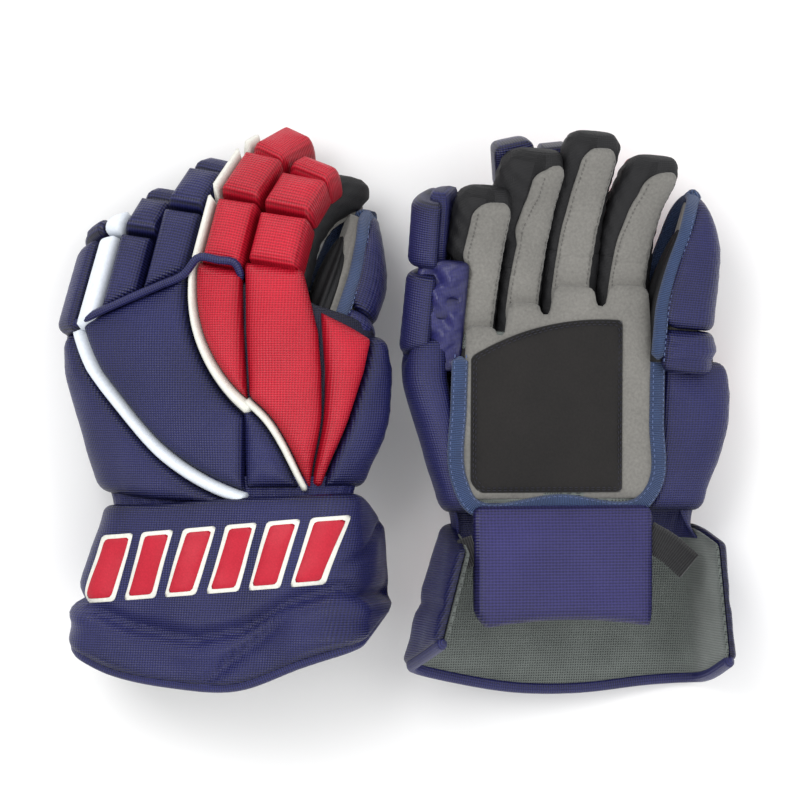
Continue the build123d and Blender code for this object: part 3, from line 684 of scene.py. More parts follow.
def hand(glove):
    valley = hand_carrier(10.0)
    left, right = valley.first + 1.5, valley.last - 1.5

    def on_top(points):
        points = np.array(points, float)
        return np.stack([valley.u_of_x(points[:, 0]), points[:, 1]], 1)

    wrist = WRIST[glove.name]
    knuckles = crease(glove, "little", (-1.05, -0.5, 0, 0.5, 1)) + crease(glove, "ring", (0.5, 1))
    side_top = knuckles[0]
    middle_top, index_top = crease(glove, "middle"), crease(glove, "index")
    outer_seam = arc((-79.5, 104.0), (-45.0, 45.4), (35.0, -4.0))
    white_low, white_top = (34.4, 47.9), (middle_top[0][0] + 0.5, middle_top[0][1] + 1)
    white_seam = arc(white_low, (2.0, 90.0), white_top)
    stripe = on_top(outer_seam)
    inner, outer = offset_line(stripe, 4.6), offset_line(stripe, -4.6)  # left of the way down is the thumb side
    outer_roll = np.vstack([[(left, wrist)], outer[::-1], on_top([side_top])[:1], [(valley.u_of_x(-92) - 8, 98),
                            (left, 104)]])
    pads = {
        "pad_outer": (outer_roll, NAVY, "roll_little_side", 0.0),
        "pad_centre": (np.vstack([inner, on_top([(33.8, -4), (33.6, 46.5)]),
                                  offset_line(on_top(white_seam), 1.0),
                                  on_top(knuckles[1:][::-1])]), NAVY, "roll_centre", 1.2),
    }
    fringe = on_top(white_seam)
    band = offset_line(fringe, -np.linspace(8.0, 5.0, len(fringe)))
    pads["pad_middle"] = (np.vstack([band, on_top([(middle_top[1][0] - GAP, middle_top[1][1]), (34.6, 52)])]),
                          RED, "roll_middle", 0.6)
    diagonal = spline(on_top([(35.2, 60.0), (46.0, 50.0), (60.0, 32.0), (80.0, 3.0)]), 30)
    edge_side = on_top([(80.8, 2.0), (80.0, 50.0), (76.0, 100.0), index_top[1]])
    pads["pad_index"] = (np.vstack([diagonal, edge_side, on_top([(middle_top[1][0] + GAP + 0.6, index_top[0][1]),
                                                                 (35.2, 64)])]),
                         RED, "roll_index", 0.6)
    low_diagonal = offset_line(diagonal, -5.5)
    pads["pad_index_low"] = (np.vstack([on_top([(34.6, wrist)]), on_top([(78.0, wrist)]), low_diagonal[::-1]]),
                             NAVY, None, 0.4)
    thumb_edge = on_top([(77.4, 112.0), (81.2, 60.0), (82.0, wrist)])
    panel_top = 96.0 if glove.name == "left" else 86.0
    panel_line = on_top([(105.0, panel_top), (97.0, 50.0), (88.0, wrist)])
    pads["pad_thumb_side"] = (np.vstack([thumb_edge, panel_line[::-1]]), RED, "roll_thumb_side", 0.4)
    panel_end = [(right, wrist), (right, panel_top + 2), (panel_line[0][0] + 8, panel_top + 1)]
    pads["pad_side_panel"] = (np.vstack([panel_line + (1.0, 0), panel_end]), NAVY, None, 2.4)
    for k, (name, (outline, material, node, crown)) in enumerate(pads.items()):
        obj = pillow(name, glove, outline, valley, material,
                     height=9.5, edge=10.5, depth=3.0, crown=crown + 1.2, seed=10 + k, uneven=0.8)
        keep(obj, "hand", node)

    white_band = np.vstack([fringe + (0.3, 0), (band + (-0.3, 0))[::-1]])
    outer_band = np.vstack([offset_line(stripe, 4.2), offset_line(stripe, -4.2)[::-1]])
    index_band = np.vstack([offset_line(diagonal, -0.4), offset_line(diagonal, -5.2)[::-1]])
    for seed, (name, outline, material, height, edge) in enumerate((
            ("trim_middle", white_band, WHITE, 8.6, 3.2), ("trim_outer", outer_band, COOL_WHITE, 9.2, 4.0),
            ("trim_index", index_band, WHITE, 8.8, 2.6)), 31):
        keep(pillow(name, glove, outline, valley, material, height=height, edge=edge, depth=2, uneven=0.2, seed=seed),
             "hand")

    route = on_top(crease(glove, "little", (-1.1, -0.6, 0, 0.5, 1)) + crease(glove, "ring", (0.5, 1))
                   + crease(glove, "middle", (0.25, 0.6, 0.85), 10) + crease(glove, "middle", (1.02,), 0))
    keep(ribbon("knuckle_piping", glove, valley, spline(route, 80), NAVY, 2.6, 2.6,
                lift=[3, 7, 9, 9, 9.5, 9.5, 9.5, 9.5, 10, 11, 7, 2], taper=4), "hand", "knuckle_cord")
    under_pads(glove)
    palm(glove)


def under_pads(glove):
    """The sewn-through fabric under the seams of the hand's padding, a darker navy that paints the shade in the gaps
    between pads, and the lining of the hollow.
    """
    base = hand_carrier(11.5)
    tip = min(p[1] for p in crease(glove, "little"))
    outline = [(base.first + 4, 0), (base.last - 4, 0), (base.last - 6, 90), (base.u_of_x(70), 118),
               (base.u_of_x(62), 130), (base.u_of_x(0), 132), (base.u_of_x(-60), tip - 6), (base.first + 6, 98)]
    keep(pillow("seam_base", glove, rounded(outline, 5), base, SHADED_NAVY, height=2.0, edge=3, depth=4.0, uneven=0),
         "hand")
    c, s = circle(40)
    c, s = signed(c, 0.35), signed(s, 0.5)

    def ring(y, half_x, half_z):
        return np.stack([c * half_x, np.full(40, y), s * half_z], 1)

    outer, inner = [], []
    for y in np.linspace(-1, 104, 22):
        for rows, grow in ((outer, 0.0), (inner, -1.6)):
            rows.append(ring(y, LINER_HALF + grow, 15.1 + grow))
    end = [ring(105.5, 58, 12), ring(106.2, 30, 6), ring(106.4, 2, 0.5)]
    inner_end = [e - (0, 1.6, 0) for e in end[::-1]]
    keep(loft("hand_lining", glove, outer + end + inner_end + inner[::-1] + outer[:1], MESH, caps=False),
         "hand", "hand_liner")


def palm_carrier(lift=0.0):
    """The palm: u runs from the thumb's side to the little finger's, so u = -x, and h points out of the palm."""
    low = -HOLLOW_HALF_Z - 1.6 - lift
    return section([(70.0, low + 3.0), (50.0, low), (15.0, low + 1.5), (-15.0, low + 1.5), (-50.0, low),
                    (-70.0, low + 3.0)])


def palm(glove):
    face = palm_carrier()
    top = []
    order = ("index", "middle", "ring", "little")
    for k, finger in enumerate(order):
        across, width, knuckle, *_ = FINGERS[finger]
        for dx in (width * 0.36, -width * 0.36):
            p = glove.block @ np.array([across + dx, knuckle + 1, 0, 1])
            top.append((-p[0], p[1]))
        if k < 3:
            low = (knuckle + FINGERS[order[k + 1]][2]) / 2 - 12
            for dx in (2.6, -2.6):
                p = glove.block @ np.array([across - width / 2 + dx, low, 0, 1])
                top.append((-p[0], p[1]))
    outline = rounded([(-61, 1), (-62, 60), (-60, 116)] + top + [(61, 96), (63, 50), (63, 1)], 5)

    def wrinkles(p, d):
        return 0.5 * np.sin((p[:, 0] * 0.5 + p[:, 1]) / 5.0) * smooth(p[:, 1], 80, 115)

    suede = pillow("palm_suede", glove, outline, face, SUEDE, height=1.5, edge=1.5, depth=0.5, uneven=0.6, seed=41,
                   shape=wrinkles, edge_step=3.0)
    keep(suede, "hand", stands_for="palm")
    left, right = 58.0, -41.0
    curve = arc((left, 90.0), (11.0, 109.0), (right, 113.0))
    outline = rounded(np.vstack([curve, [(right + 0.5, 5.0), (left - 5.0, 5.0), (left + 0.5, 12.0)]]), 2.0)
    patch_face = palm_carrier(1.6)
    patch = pillow("palm_overlay", glove, outline, patch_face, PATCH, height=1.3, edge=1.2, depth=0.5, uneven=0.5,
                   seed=42, edge_step=3.0)
    keep(patch, "hand", stands_for="palm_patch")
    inner = resample(outline, 2.0)
    middle = inner.mean(0)
    rows = [(patch_face, middle + (inner - middle) * (1 - by / 50), 1.6, True) for by in (1.6, 3.0)]
    keep(stitches("patch_stitches", glove, rows, DARK_THREAD), "hand")
    edge_carrier = palm_carrier(1.0)
    tape = spline([(64.5, 90), (65.5, 60), (65, 12), (60, 0.5), (0, -1.0), (-56, 0.0), (-62, 8), (-64, 50), (-65, 90),
                   (-66.5, 110)], 90)
    keep(ribbon("palm_binding", glove, edge_carrier, tape, TAPE, 5.2, 2.2, lift=0.4, power=2.6, taper=3), "hand")
    rows = [(edge_carrier, offset_line(tape, by), 2.2, False) for by in (-3.6, 3.6)]
    keep(stitches("binding_stitches", glove, rows, THREAD), "hand")


# ---------------------------------------------------------------- fingers
def finger_pads(glove, finger):
    """The three rolls on the back of a finger; the middle finger's have a narrow trim beside them."""
    _, width, _, proximal, middle, tip = FINGERS[finger]
    posture, slant, half = glove.posture, SLANT[finger], width / 2
    first, second = glove.first[finger], glove.second[finger]
    near, far = f"{finger}_proximal", f"{finger}_distal"
    right = glove.name == "right"
    stretch, ease = (table[glove.name].get(finger, (0, 0)) for table in (STRETCH, UNBEND))
    middle, tip = middle + stretch[0], tip + stretch[1]
    knuckle_lean = KNUCKLE_TILT - posture["mcp"]
    pip, bend = (posture["pip"] - ease[0]) / 2, (posture["tip"] - ease[1]) / 2
    front = -CREASE_BACK + ON[finger]
    start = np.array([0, -CREASE_BACK, 0.0])
    ahead = unit([-slant, 1, -math.tan(math.radians(knuckle_lean))])
    knuckle_blend = ("hand", near, *glove.fold(first, start, start + ahead * proximal))
    ahead = unit([0, 1, math.tan(math.radians(pip))])
    middle_blend = (near, far, *glove.fold(second, (0, 0, 0), ahead * middle))

    main = NAVY if finger in ("little", "ring") else RED
    hidden = 7.0 if finger == "index" and right else 0.0
    spans = [("", -half + GAP + hidden, half - GAP, main)]
    if finger == "middle":
        spans = [("", -half + 6.4, half - GAP, main), ("_trim", -half + GAP, -half + 6.0, WHITE)]
    for suffix, low, high, material in spans:
        thin = suffix == "_trim"
        low_by, crown, edge = (1.2, 0.0, 2.7) if thin else (0, 1.2, 6.5)
        settings = dict(height=ROLL_HEIGHT - low_by, edge=edge, depth=4.0, uneven=0.3, crown=crown, step=4.0,
                        edge_step=2.0)
        for seed, (name, level, matrix, lean, length, at, node) in enumerate((
                ("first", ROLL_BASE, first, (knuckle_lean, pip), proximal, knuckle_blend, "proximal_roll"),
                ("second", ROLL_BASE, second, (-pip, bend), middle, middle_blend, "distal_rolls"),
                ("tip", 0.0, glove.tip[finger], (-bend, -8), tip, far, None)), 50):
            base = section([(-60, level), (60, level)], matrix, lean=lean, length=length, rounds=0)
            starts, stop, inset, corner = (GAP, GAP), length - GAP, 0, 1.5 if thin else 3.0
            if name == "first":
                starts = front + slant * low, front + slant * high
            elif name == "tip":
                inset, corner = (0, 2.5) if thin else (1, 7.0)
                stop = tip if not thin else tip - 4.5 if right else tip * 0.45
                if finger == "middle" and right:  # its trim is wide and navy there
                    low, high = (low - 2, high + 12) if thin else (low + 12, high)
                    if thin:
                        material, settings["edge"] = NAVY, 6.0
            ends = [(high - inset, stop), (low + inset, stop)]
            outline = rounded([(low, starts[0]), (high, starts[1]), *ends], corner)
            obj = pillow(f"{finger}_pad_{name}{suffix}", glove, outline, base, material, seed=seed, **settings)
            keep(obj, at, f"{finger}_{node}" if node and not thin else None)
    if finger == "little":
        little_gusset(glove)
        last = middle + tip if right else middle * 0.55
        little_side(glove, "first", first, (knuckle_lean, pip), -CREASE_BACK, proximal, knuckle_blend)
        little_side(glove, "second", second, (-pip, bend), GAP, last, middle_blend)


def little_side(glove, name, matrix, lean, low, high, blend):
    """The white and the navy roll on the outer side of the little finger, and the filling under them."""
    half = FINGERS["little"][1] / 2
    side = [(-half - 2, -15), (-half - 22, -16), (-half - 34, -5), (-half - 31, 12), (-half - 15, ROLL_BASE + 14),
            (-half, ROLL_BASE + 17)]
    base = section(side, matrix, zero_x=-half, sink=8.0, lean=lean, length=high, rounds=2)
    back = SLANT["little"] if name == "first" else 0.0
    white_end = high - (12 if name == "second" and glove.name == "right" else 1)
    white = [(-16, low - back * 28), (-1, low - back * 14), (-1, white_end), (-15, white_end - 3)]
    settings = dict(height=8, step=4.0, edge_step=2.0)
    keep(pillow(f"little_side_white_{name}", glove, rounded(white, 3), base, COOL_WHITE, edge=6, depth=9, uneven=0.2,
                seed=53, **settings), blend)
    outer = [(base.first + 15, low - back * 12), (-36, low - back * 30), (-17, low - back * 29),
             (-17, high - 3), (-36, high - 5), (base.first + 15, high - 5)]
    us, rows = np.linspace(base.first + 9, base.last, 24), []
    for v, share in ((low, 0.55), (low + 1.5, 0.8), (low + 6, 0.95), (high - 8, 0.95), (high - 2.5, 0.8),
                     (high - 0.5, 0.5)):
        ring = base(us, np.full(24, v - back * 14), np.full(24, -2.5))
        rows.append(ring.mean(0) + (ring - ring.mean(0)) * share)
    keep(loft(f"little_side_core_{name}", glove, rows, NAVY), blend)
    keep(pillow(f"little_side_navy_{name}", glove, rounded(outer, 4), base, NAVY, edge=7, depth=11, uneven=0.4,
                seed=54, **settings), blend)


def little_gusset(glove):
    """The loose satin between the little finger's stall and the rolls on its side."""
    half, proximal = FINGERS["little"][1] / 2, FINGERS["little"][3]
    base = section([(-half + 12, -12.0), (-half - 4, -13.0), (-half - 18, -9.0), (-half - 25, 2.0)],
                   glove.first["little"], -half, rounds=2)
    knuckle = ("hand", "little_proximal", *glove.joint(glove.first["little"]))
    for name, low, high, at in (("near", -27.0, 19.0, knuckle), ("far", 5.0, proximal + 4, "little_proximal")):
        outline = rounded([(-3, low), (base.last, low), (base.last, high), (-3, high)], 5)

        def crumple(p, d):
            x, y = p[:, 0], p[:, 1]
            return (1.7 * np.sin(y * 0.17 + x * 0.34) + 1.3 * np.sin(y * 0.36 - x * 0.42 + 1)
                    + 0.5 * np.sin(y * 0.8 + x * 0.5) - 1.8 * np.abs(np.sin(y * 0.13 - x * 0.16)))

        obj = pillow(f"little_gusset_{name}", glove, outline, base, SATIN, height=4.5, edge=8, depth=3.0, step=2.2,
                     edge_step=2.0, uneven=1.0, seed=58, shape=crumple)
        keep(obj, at)


def stall_carrier(glove, finger):
    """A finger's soft tube: u runs round it from the middle of its palm side, v along it from the knuckle."""
    across, width, knuckle, proximal, middle, tip = FINGERS[finger]
    p, ease = glove.posture, UNBEND[glove.name].get(finger, (0, 0))
    total = proximal + middle + tip * 0.93 + TIP_EXTRA[glove.name][finger]
    grid = np.arange(-24, total + 1, 1.0)
    angle = -(p["mcp"] * smooth(grid, -9, 9) + (p["pip"] - ease[0]) * smooth(grid, proximal - 9, proximal + 9)
              + (p["tip"] - ease[1]) * 0.8 * smooth(grid, proximal + middle - 8, proximal + middle + 8))
    rad = np.radians(angle)
    y, z = np.cumsum(np.cos(rad)), np.cumsum(np.sin(rad))
    zero = np.argmin(np.abs(grid))
    y, z = y - y[zero], z - z[zero]
    yaw = STALL_YAW[glove.name].get(finger, (0, 0))
    bulge = BULGE.get(finger, 0.0) / (width / 2) if glove.name == "right" else 0.0
    swing = yaw[0] * smooth(grid, proximal - 6, proximal + 8) + yaw[1] * smooth(grid, proximal + middle - 8,
                                                                                 proximal + middle + 6)
    aside = np.cumsum(np.sin(np.radians(swing)))
    matrix = glove.block @ move(across, knuckle, 0)
    half = width / 2 + 0.2

    def carrier(u, v, h):
        u, v, h = (np.asarray(q, float) for q in (u, v, h))
        cy, cz, turned = np.interp(v, grid, y), np.interp(v, grid, z), np.interp(v, grid, rad)
        near_end = np.clip((v - (total - 15)) / 15.5, 0, 1)
        close = np.sqrt(np.clip(1 - near_end**2.4, 0.0, 1))
        wide, low, high = half * (0.45 + 0.55 * close), STALL_HALF_Z * close, (ROLL_BASE + 2) * close
        low = low + 5.5 * (1 - smooth(v, -22, 6)) - 3.0 * (1 - smooth(v, -30, -20))
        phi = u / half
        c, s = -np.cos(phi), np.sin(phi)
        x = signed(s, 0.8) * (wide + h)
        x = np.where(x < 0, x * (1 + bulge * smooth(v, proximal - 4, proximal + 12)), x)
        up = signed(c, 0.8) * np.where(c < 0, low + h, high + h)
        p = np.stack([x + np.interp(v, grid, aside), cy - up * np.sin(turned), cz + up * np.cos(turned)], -1)
        return apply(matrix, p)

    carrier.total, carrier.half = total, half
    return carrier


def finger_stall(glove, finger):
    """A finger's soft tube in two lengths, with a stitched suede strip along its palm side."""
    base = stall_carrier(glove, finger)
    near, far = f"{finger}_proximal", f"{finger}_distal"
    knuckle = ("hand", near, *glove.joint(glove.first[finger]))
    joint = (near, far, *glove.joint(glove.second[finger]))
    m, split = 28, FINGERS[finger][3] / 2
    around = np.arange(m) / m * 2 * math.pi * base.half
    k = list(FINGERS).index(finger)
    for name, low, high, blend, node in (
            ("near", -29.0, split + 3, knuckle, "proximal_stall"),
            ("far", split - 3, base.total, joint, "distal_stall")):
        rows, near_part = [], name == "near"
        at = np.arange(low, high, 1.6) if near_part else np.r_[np.arange(low, high - 16, 1.6),
                                                               high - 16 * np.cos(np.linspace(0, 1.5, 14))]
        for v in np.r_[at, high]:
            folds = 0.5 * np.sin(around * 0.9 + k) * math.sin(v * 0.23 + k) + 0.35 * np.sin(v * 0.55 + around * 0.5)
            rows.append(base(around, np.full(m, v), folds * (0.2 if v > high - 3 and not near_part else 1)
                             - (0.0 if near_part else 0.5 * (1 - smooth(v, split, split + 6)))))
        keep(loft(f"{finger}_stall_{name}", glove, rows, GUSSET), blend, f"{finger}_{node}")
        strip, shift, drift = STRIPS[finger]
        start, top = (-16.0, split + 7) if near_part else (split - 7, high - 6)
        if near_part:
            outline = np.array([(-strip * 1.2, start), (strip * 1.2, start), (strip, 4), (strip, top),
                                (-strip, top), (-strip, 4)])
        else:
            outline = rounded([(-strip, start), (strip, start), (strip, top - 7), (strip * 0.55, top),
                               (-strip * 0.55, top), (-strip, top - 7)], 3.5)
        outline = resample(outline, 1.5)

        def lean(p):
            return p + np.stack([shift + (drift - shift) * smooth(p[:, 1], 0, base.total * 0.8), p[:, 0] * 0], 1)

        def pucker(p, d, k=k):
            return (0.35 * np.sin(p[:, 1] * 0.9 + p[:, 0] * 0.3 + k) * np.exp(-d / 4)
                    + 0.7 * np.exp(-(d / 1.6 - 1.1) ** 2))

        def sink(p, near_part=near_part):
            if near_part:
                return -3.0 * (1 - smooth(p[:, 1], -16, -4)) - 2.4 * smooth(p[:, 1], split - 2, split + 7)
            return -2.4 * (1 - smooth(p[:, 1], split - 7, split + 2))

        obj = pillow(f"{finger}_strip_{name}", glove, lean(outline), base, SUEDE, height=1.5, edge=1.3, depth=0.8,
                     uneven=0.35, seed=60 + k, shape=pucker, step=3.5, edge_step=2.0, seam_width=1.2, bed=sink)
        keep(obj, blend)
        a, b = (-10, split - 1) if near_part else (split + 1, top - 8)
        sides = [(base, lean(np.stack([np.full(20, sign * (strip - 2.6)), np.linspace(a, b, 20)], 1)), 2.0, False)
                 for sign in (-1, 1)]
        keep(stitches(f"{finger}_strip_stitches_{name}", glove, sides, GREY_THREAD, pitch=3.0, length=1.9,
                      radius=0.3), blend)


# ---------------------------------------------------------------- thumb
def thumb_taper(glove, x, v, wide):
    """Draws the thumb's inner and outer sides together toward its tip."""
    if glove.name == "left":
        return x * (1 - 0.5 * smooth(v, 28, 92))
    inner, outer = 14.0 * smooth(v, 8, 88), 12.0 * np.clip((v - 48) / 38, 0, 1.1) ** 2.2
    return inner + x / wide * (wide - inner - outer)


def thumb_carrier(glove):
    """The thumb's U: u runs round it from its outer side, positive to the palm side, v along it from its base."""
    half, wide = THUMB_HALF_Z - 4, THUMB_INSIDE
    radius = 11.0

    def carrier(u, v, h):
        u, v, h = (np.asarray(q, float) for q in (u, v, h))
        end = np.clip((v - 52) / 32.5, 0, 1)
        close = np.sqrt(np.clip(1 - end**2.6, 0.0004, 1))
        straight = half - radius
        a = np.abs(u)
        arc_length = radius * math.pi / 2
        phi = np.clip((a - straight) / arc_length, 0, 1) * math.pi / 2
        flank = np.clip(a - straight - arc_length, 0, None)
        x = wide - radius + radius * np.cos(phi) - flank
        z = np.clip(a, 0, straight) + radius * np.sin(phi)
        z = z * np.sign(u + 1e-12) * -1
        nx, nz = np.cos(phi), -np.sin(phi) * np.sign(u + 1e-12)
        x = thumb_taper(glove, x + nx * h, v, wide)
        z = z * close + nz * h * np.maximum(close, 0.25)
        y = v + h * 0.25 * end
        return apply(glove.thumb, np.stack([x, y, z], -1))

    carrier.reach = half - radius + radius * math.pi / 2 + wide - radius
    return carrier


def thumb(glove):
    base = thumb_carrier(glove)
    reach = base.reach - 1.0
    at_base = ("hand", "thumb", *glove.fold(glove.thumb, (19.0, -12.0, 0), (19.0, 14.0, 0)))
    back, fold = (reach - 14, 12.0) if glove.name == "left" else (reach, 2.0)
    main = rounded([(-back, fold), (reach, fold), (reach, 60), (reach * 0.72, 82), (reach * 0.25, 86.5),
                    (-back * 0.25, 86.5), (-back * 0.72, 82), (-back, 60)], 12)

    def gathers(p, d):
        return (1.3 * np.sin(p[:, 1] * 0.55 + p[:, 0] * 0.10) * smooth(p[:, 0], -8, 22)
                + 1.5 * bell(p[:, 1], fold - 8, 5.0))

    keep(pillow("thumb_padding", glove, main, base, NAVY, height=5.5, edge=7, depth=2.5, crown=1.2, uneven=0.9,
                seed=71), "thumb", stands_for="thumb_shell")
    low = rounded([(-back + 2, fold - 31), (reach - 2, fold - 27), (reach - 1, fold - 0.6), (-back, fold - 0.6)], 6)
    keep(pillow("thumb_base_roll", glove, low, base, NAVY, height=6.0, edge=7, depth=2.5, crown=0.8, uneven=0.9,
                seed=72, shape=gathers, step=3.5), at_base)
    for name, side, far in (("back", -1, back), ("palm", 1, reach)):
        line = spline([(side * (far + 1), -18.0), (side * (far + 1), 28.0), (side * (far + 0.5), 56.0),
                       (side * far * 0.93, 76.0), (side * far * 0.6, 84.5), (side * 6, 86.5)], 60)
        keep(ribbon(f"thumb_binding_{name}", glove, base, line, TAPE, 4.6, 3.0, lift=0.8, power=2.4, taper=3),
             "thumb")
        rows = [(base, offset_line(line, side * 3.2), 4.0, False)]
        keep(stitches(f"thumb_stitches_{name}", glove, rows, THREAD), "thumb")
    m = 44
    angle = np.arange(m) / m * 2 * math.pi
    c, s = circle(m)

    def ring(x, v, z):
        return apply(glove.thumb, np.stack([thumb_taper(glove, x, v, THUMB_INSIDE), np.full(m, v), z], 1))

    rows = []
    for v in np.r_[np.linspace(-12, 70, 38), 75, 78.5, 80.5, 81.5]:
        close = math.sqrt(max(1 - max((v - 48) / 34.0, 0) ** 2.4, 0.002))
        pleat = 1.1 * np.sin(9 * angle + 0.05 * v) * (c < 0.3) * smooth(v, -10, 20)
        x = 15.5 + signed(c, 0.7) * (13.0 + pleat)
        z = signed(s, 0.8) * (14.0 + pleat * 0.4) * close
        rows.append(ring(x, v, z))
    keep(loft("thumb_lining", glove, rows, SUEDE), at_base,
         stands_for="thumb_stall")
    rows = []
    for v in np.linspace(-20, 64, 44):
        close = math.sqrt(max(1 - max((v - 20) / 45.0, 0) ** 2.4, 0.004))
        pleat = 1.3 * np.sin(7 * angle + 0.04 * v) * smooth(v, -15, 15)
        x = 2.5 + c * (6.5 + pleat) * close
        z = -1.0 + s * (15.0 + pleat) * close
        rows.append(ring(x, v, z))
    keep(loft("thumb_gusset", glove, rows, GUSSET), at_base)


# ---------------------------------------------------------------- cuff, flap and elastics
def cuff_carrier(inset=0.0, shift=7.0):
    """The cuff's channel: u runs over its back from the little finger's side, h points out."""

    def carrier(u, v, h):
        u, v, h = (np.asarray(q, float) for q in (u, v, h))
        share = np.clip(-v / CUFF_FLARE_LENGTH, -0.1, 1.4)
        left, right = -69 - 25 * share, 94 + 8 * share
        inward, radius = CUFF_HALF_THICK + inset, CUFF_CORNER
        back = CUFF_BACK + CUFF_RISE * np.clip((-v - 10) / CUFF_RISE_LENGTH, 0, 1) - inward
        left, right = left + inward, right - inward
        middle, half = (left + right) / 2 + shift, (right - left) / 2
        flat, arc_length = half - radius, radius * math.pi / 2
        a = np.abs(u)
        phi = np.clip((a - flat) / arc_length, 0, 1) * math.pi / 2
        down = np.clip(a - flat - arc_length, 0, None)
        crown = 3.0 * (1 - np.clip(a / half, 0, 1) ** 2)
        sign = np.sign(u + 1e-12)
        x = middle + sign * (np.minimum(a, flat) + radius * np.sin(phi))
        z = back - radius + radius * np.cos(phi) - down + crown - 1.5
        return np.stack([x + sign * np.sin(phi) * h, v, z + np.cos(phi) * h], -1)

    return carrier


def cuff_edges(glove):
    """The cuff's front and end edges in its carrier's u and v."""

    def reach(y):
        half = (163 + 38 * -y / CUFF_FLARE_LENGTH) / 2 - CUFF_HALF_THICK
        back = CUFF_BACK + CUFF_RISE * (-y - 10) / CUFF_RISE_LENGTH - CUFF_HALF_THICK
        return half - CUFF_CORNER + CUFF_CORNER * math.pi / 2 + back - CUFF_CORNER + 30

    start = WRIST[glove.name] - 7.5
    tilt = 5.0 if glove.name == "left" else 0.0
    front = [(-reach(-30), -30 - tilt), (-reach(-16) + 38, start - 3 - tilt), (-40, start - tilt / 2),
             (40, start + tilt / 2), (reach(-16) - 38, start - 3 + tilt), (reach(-30), -26 + tilt)]
    little, thumb = (-76, -76) if glove.name == "left" else (-90, -104)
    low = -118.5 if glove.name == "left" else -121.0
    end = [(reach(thumb), thumb + 4), (reach(-90) - 38, thumb - 8), (62, (thumb - 130) / 2), (20, low),
           (-20, low + 1), (-62, low + 8), (-reach(-90) + 38, little - 8), (-reach(-86), little + 4)]
    return front, end


def cuff(glove):
    base = cuff_carrier()
    front, end = cuff_edges(glove)
    outline = rounded(np.vstack([spline(front, 40), spline(end, 60)]), 4)

    def folds(p, d):
        u, v = p[:, 0], p[:, 1]
        path = np.interp(u, (-95, -89, -49, -7, 24, 52, 80, 103), (-66, -69, -84, -91, -84, -67, -58, -64))
        first = -5.6 * bell(v, path, np.where(v > path, 6.0, 2.4))
        first = first + 2.6 * bell(v, path - 9, 5.0)
        steep = np.interp(v, (-120, -98, -74), (-2, 21, 52))
        sag = -5.4 * bell(u, steep, np.where(u > steep, 8.0, 2.8)) * smooth(v, -70, -82)
        side = -3.2 * bell(v, (u - 90) * 0.5 - 40, 4.0) * smooth(u, 60, 90)
        little = 2.0 * bell(v, -104, 8.0) * smooth(u, 0, -50)
        bulge = 5.0 * bell(v, -88, 13.0) * bell(u, 72, 26.0) + 1.3 * np.sin(u * 0.09 + v * 0.05)
        total = first + sag + side + little + bulge
        return total if glove.name == "left" else np.clip(0.35 * total, -2.0, 0.4)

    shell = pillow("cuff_padding", glove, outline, base, NAVY, height=5.0, edge=6.0, depth=1.2, uneven=1.1, seed=81,
                   shape=folds, step=3.6, edge_step=2.6)
    keep(shell, "cuff", stands_for="cuff_shell")
    inner = cuff_carrier(2.2)
    middle = np.array([0.0, -62.0])
    lining_outline = middle + (resample(outline, 3.0) - middle) * (0.985, 0.955)
    lining = pillow("cuff_lining", glove, lining_outline, inner, MESH, height=0.6, edge=2.0, depth=1.6, uneven=0.0,
                    step=5.0, edge_step=3.0)
    keep(lining, "cuff")
    hem = spline(end, 80)
    keep(ribbon("cuff_hem", glove, cuff_carrier(1.0), hem, NAVY, 4.0, 3.4, lift=0.2, power=2.2, taper=4), "cuff")
    bars(glove, base, folds)
    wrist_gusset(glove)


def wrist_gusset(glove):
    """The gathered fabric that joins the hand's padding to the cuff."""
    upper, lower = hand_carrier(7.0), cuff_carrier(2.5)
    m, rows = 70, []
    share = np.linspace(0, 1, m)
    u_hand = upper.first + 22 + (upper.last - upper.first - 44) * share
    u_cuff = (share - 0.5) * 2 * 104
    at, back = np.full(m, WRIST[glove.name] + 7.0), np.full(m, WRIST[glove.name] - 18.0)
    for t in np.linspace(0, 1, 14):
        pleat = 0.8 * np.sin(share * 150) * math.sin(math.pi * t) - 2.5 * math.sin(math.pi * t)
        outer = (1 - t) * upper(u_hand, at, pleat) + t * lower(u_cuff, back, pleat)
        inner = (1 - t) * upper(u_hand, at, pleat - 1.5) + t * lower(u_cuff, back, pleat - 1.5)
        rows.append(np.vstack([outer, inner[::-1]]))
    keep(loft("wrist_gusset", glove, rows, NAVY),
         ("hand", "cuff", *glove.world([(10.0, -1.0, 18.0), (10.0, -18.0, 18.0)])))


def bars(glove, base, folds):
    """Plain slanted bars across the cuff's back, red on white."""
    for k, u in enumerate(np.linspace(-70, 66, 6)):
        for name, grow, material, lift in (("white", 0.0, WHITE, 0.0), ("red", -2.6, RED_FLAT, 0.5)):
            half, top, low = 10.5 + grow, -14.0 + grow, -56.0 - grow
            slope = 4.0
            outline = rounded([(u - half - slope, low), (u + half - slope, low), (u + half + slope, top),
                               (u - half + slope, top)], 2.0)
            outline = outline + np.stack([outline[:, 0] * 0, 0.09 * (outline[:, 0] - 66)], 1)

            def on_cloth(p, lift=lift):
                return 5.1 + lift + folds(p, None) + 1.1 * wobble(p, 81)

            keep(pillow(f"cuff_bar_{name}_{k + 1}", glove, outline, base, material, height=0.5, edge=0.6, depth=0.4,
                        uneven=0.0, step=4.0, edge_step=2.0, bed=on_cloth), "cuff")


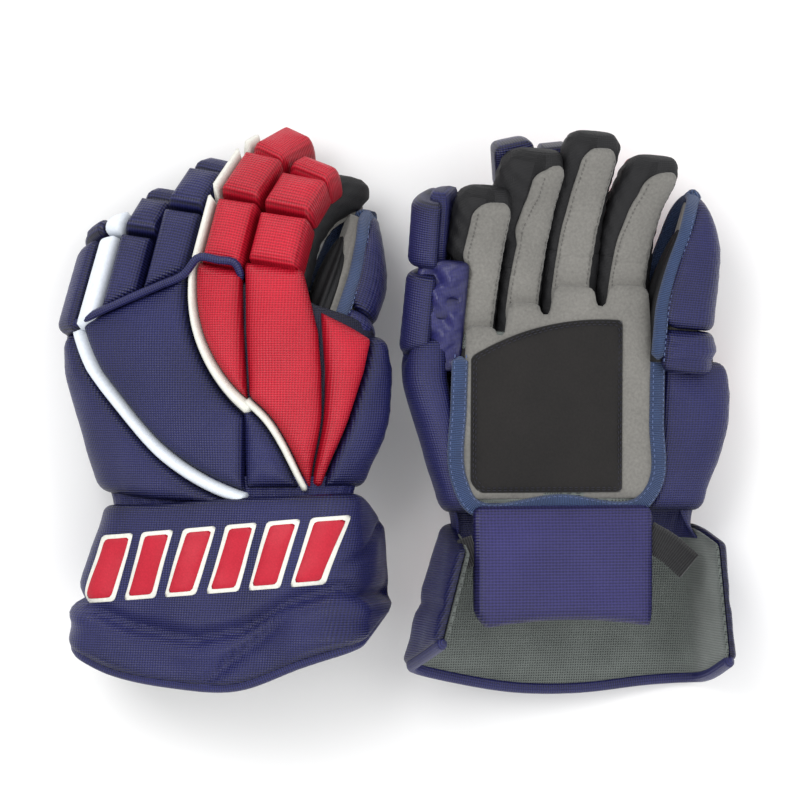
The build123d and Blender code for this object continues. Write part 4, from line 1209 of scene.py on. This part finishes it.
def flap(glove):
    low = -HOLLOW_HALF_Z - 2.0 - 3.0
    base = section([(70.0, low), (0.0, low), (-70.0, low)], rounds=0)
    outline = rounded(np.vstack([[(-58.5, -3.0)], [(-58.5, -70.0), (-57.0, -78.5)],
                                 arc((-56.0, -79.0), (0.0, -74.5), (50.0, -79.0)), [(58.0, -70.0), (58.5, -3.0)]]), 7)

    def rise(p, d):
        return 1.5 * bell(p[:, 1], -68, 8.0) - 1.2 * bell(p[:, 1], -12, 4.0)

    keep(pillow("flap_padding", glove, outline, base, NAVY_FLAP, height=5.5, edge=6.0, depth=3.2, crown=1.0,
                uneven=1.0, seed=91, shape=rise), "flap", "wrist_flap")
    level = -HOLLOW_HALF_Z - 6.0
    plane = section([(120.0, level), (-120.0, level)], rounds=0)
    for name, line in (("thumb", [(-56.0, -22.0), (-70.0, -30.0), (-84.0, -42.0)]),
                       ("little", [(56.0, -30.0), (65.0, -33.0)])):
        obj = ribbon(f"elastic_{name}", glove, plane, spline(line, 20), ELASTIC, 9.5, 0.8, lift=0.0, power=4.0,
                     step=2.0)
        keep(obj, "flap", "elastics" if name == "thumb" else None)


for glove in (Glove("left"), Glove("right")):
    hand(glove)
    for finger in FINGERS:
        finger_pads(glove, finger)
        finger_stall(glove, finger)
    thumb(glove)
    cuff(glove)
    flap(glove)


# ---------------------------------------------------------------- floor, light and camera
def stage():
    bm = bmesh.new()
    bmesh.ops.create_grid(bm, x_segments=8, y_segments=8, size=3.0)
    mesh = bpy.data.meshes.new("floor")
    bm.to_mesh(mesh)
    bm.free()
    floor = bpy.data.objects.new("floor", mesh)
    bpy.context.scene.collection.objects.link(floor)
    s = Shader("pale_floor", Roughness=0.9, Specular_IOR_Level=0.1)
    mesh.materials.append(s.finish(s.mix(s.noise(3.0), rgb(244, 244, 244), rgb(250, 250, 250)), s.noise(80.0), 0.02))
    for name, at, size, power in (("key", (-0.7, 0.75, 1.5), 1.0, 17.0), ("fill", (1.1, 0.3, 1.3), 1.4, 9.0),
                                  ("low", (0.1, -1.2, 0.9), 1.2, 6.0)):
        data = bpy.data.lights.new(name, "AREA")
        data.size, data.energy = size, power
        lamp = bpy.data.objects.new(name, data)
        lamp.location = at
        lamp.rotation_euler = (Vector((0, 0, 0.04)) - Vector(at)).to_track_quat("-Z", "Y").to_euler()
        bpy.context.scene.collection.objects.link(lamp)
    world = bpy.data.worlds.new("studio")
    world.use_nodes = True
    world.node_tree.nodes["Background"].inputs[0].default_value = (1, 1, 1, 1)
    world.node_tree.nodes["Background"].inputs[1].default_value = 0.75
    bpy.context.scene.world = world
    data = bpy.data.cameras.new("camera")
    data.lens, data.sensor_width, data.clip_end = 36 * 2.4 / 0.504, 36.0, 20.0
    camera = bpy.data.objects.new("camera", data)
    camera.location = (0.0077, 0.0074, 2.46)
    bpy.context.scene.collection.objects.link(camera)
    bpy.context.scene.camera = camera
    bpy.context.scene.view_settings.view_transform = "Standard"


stage()
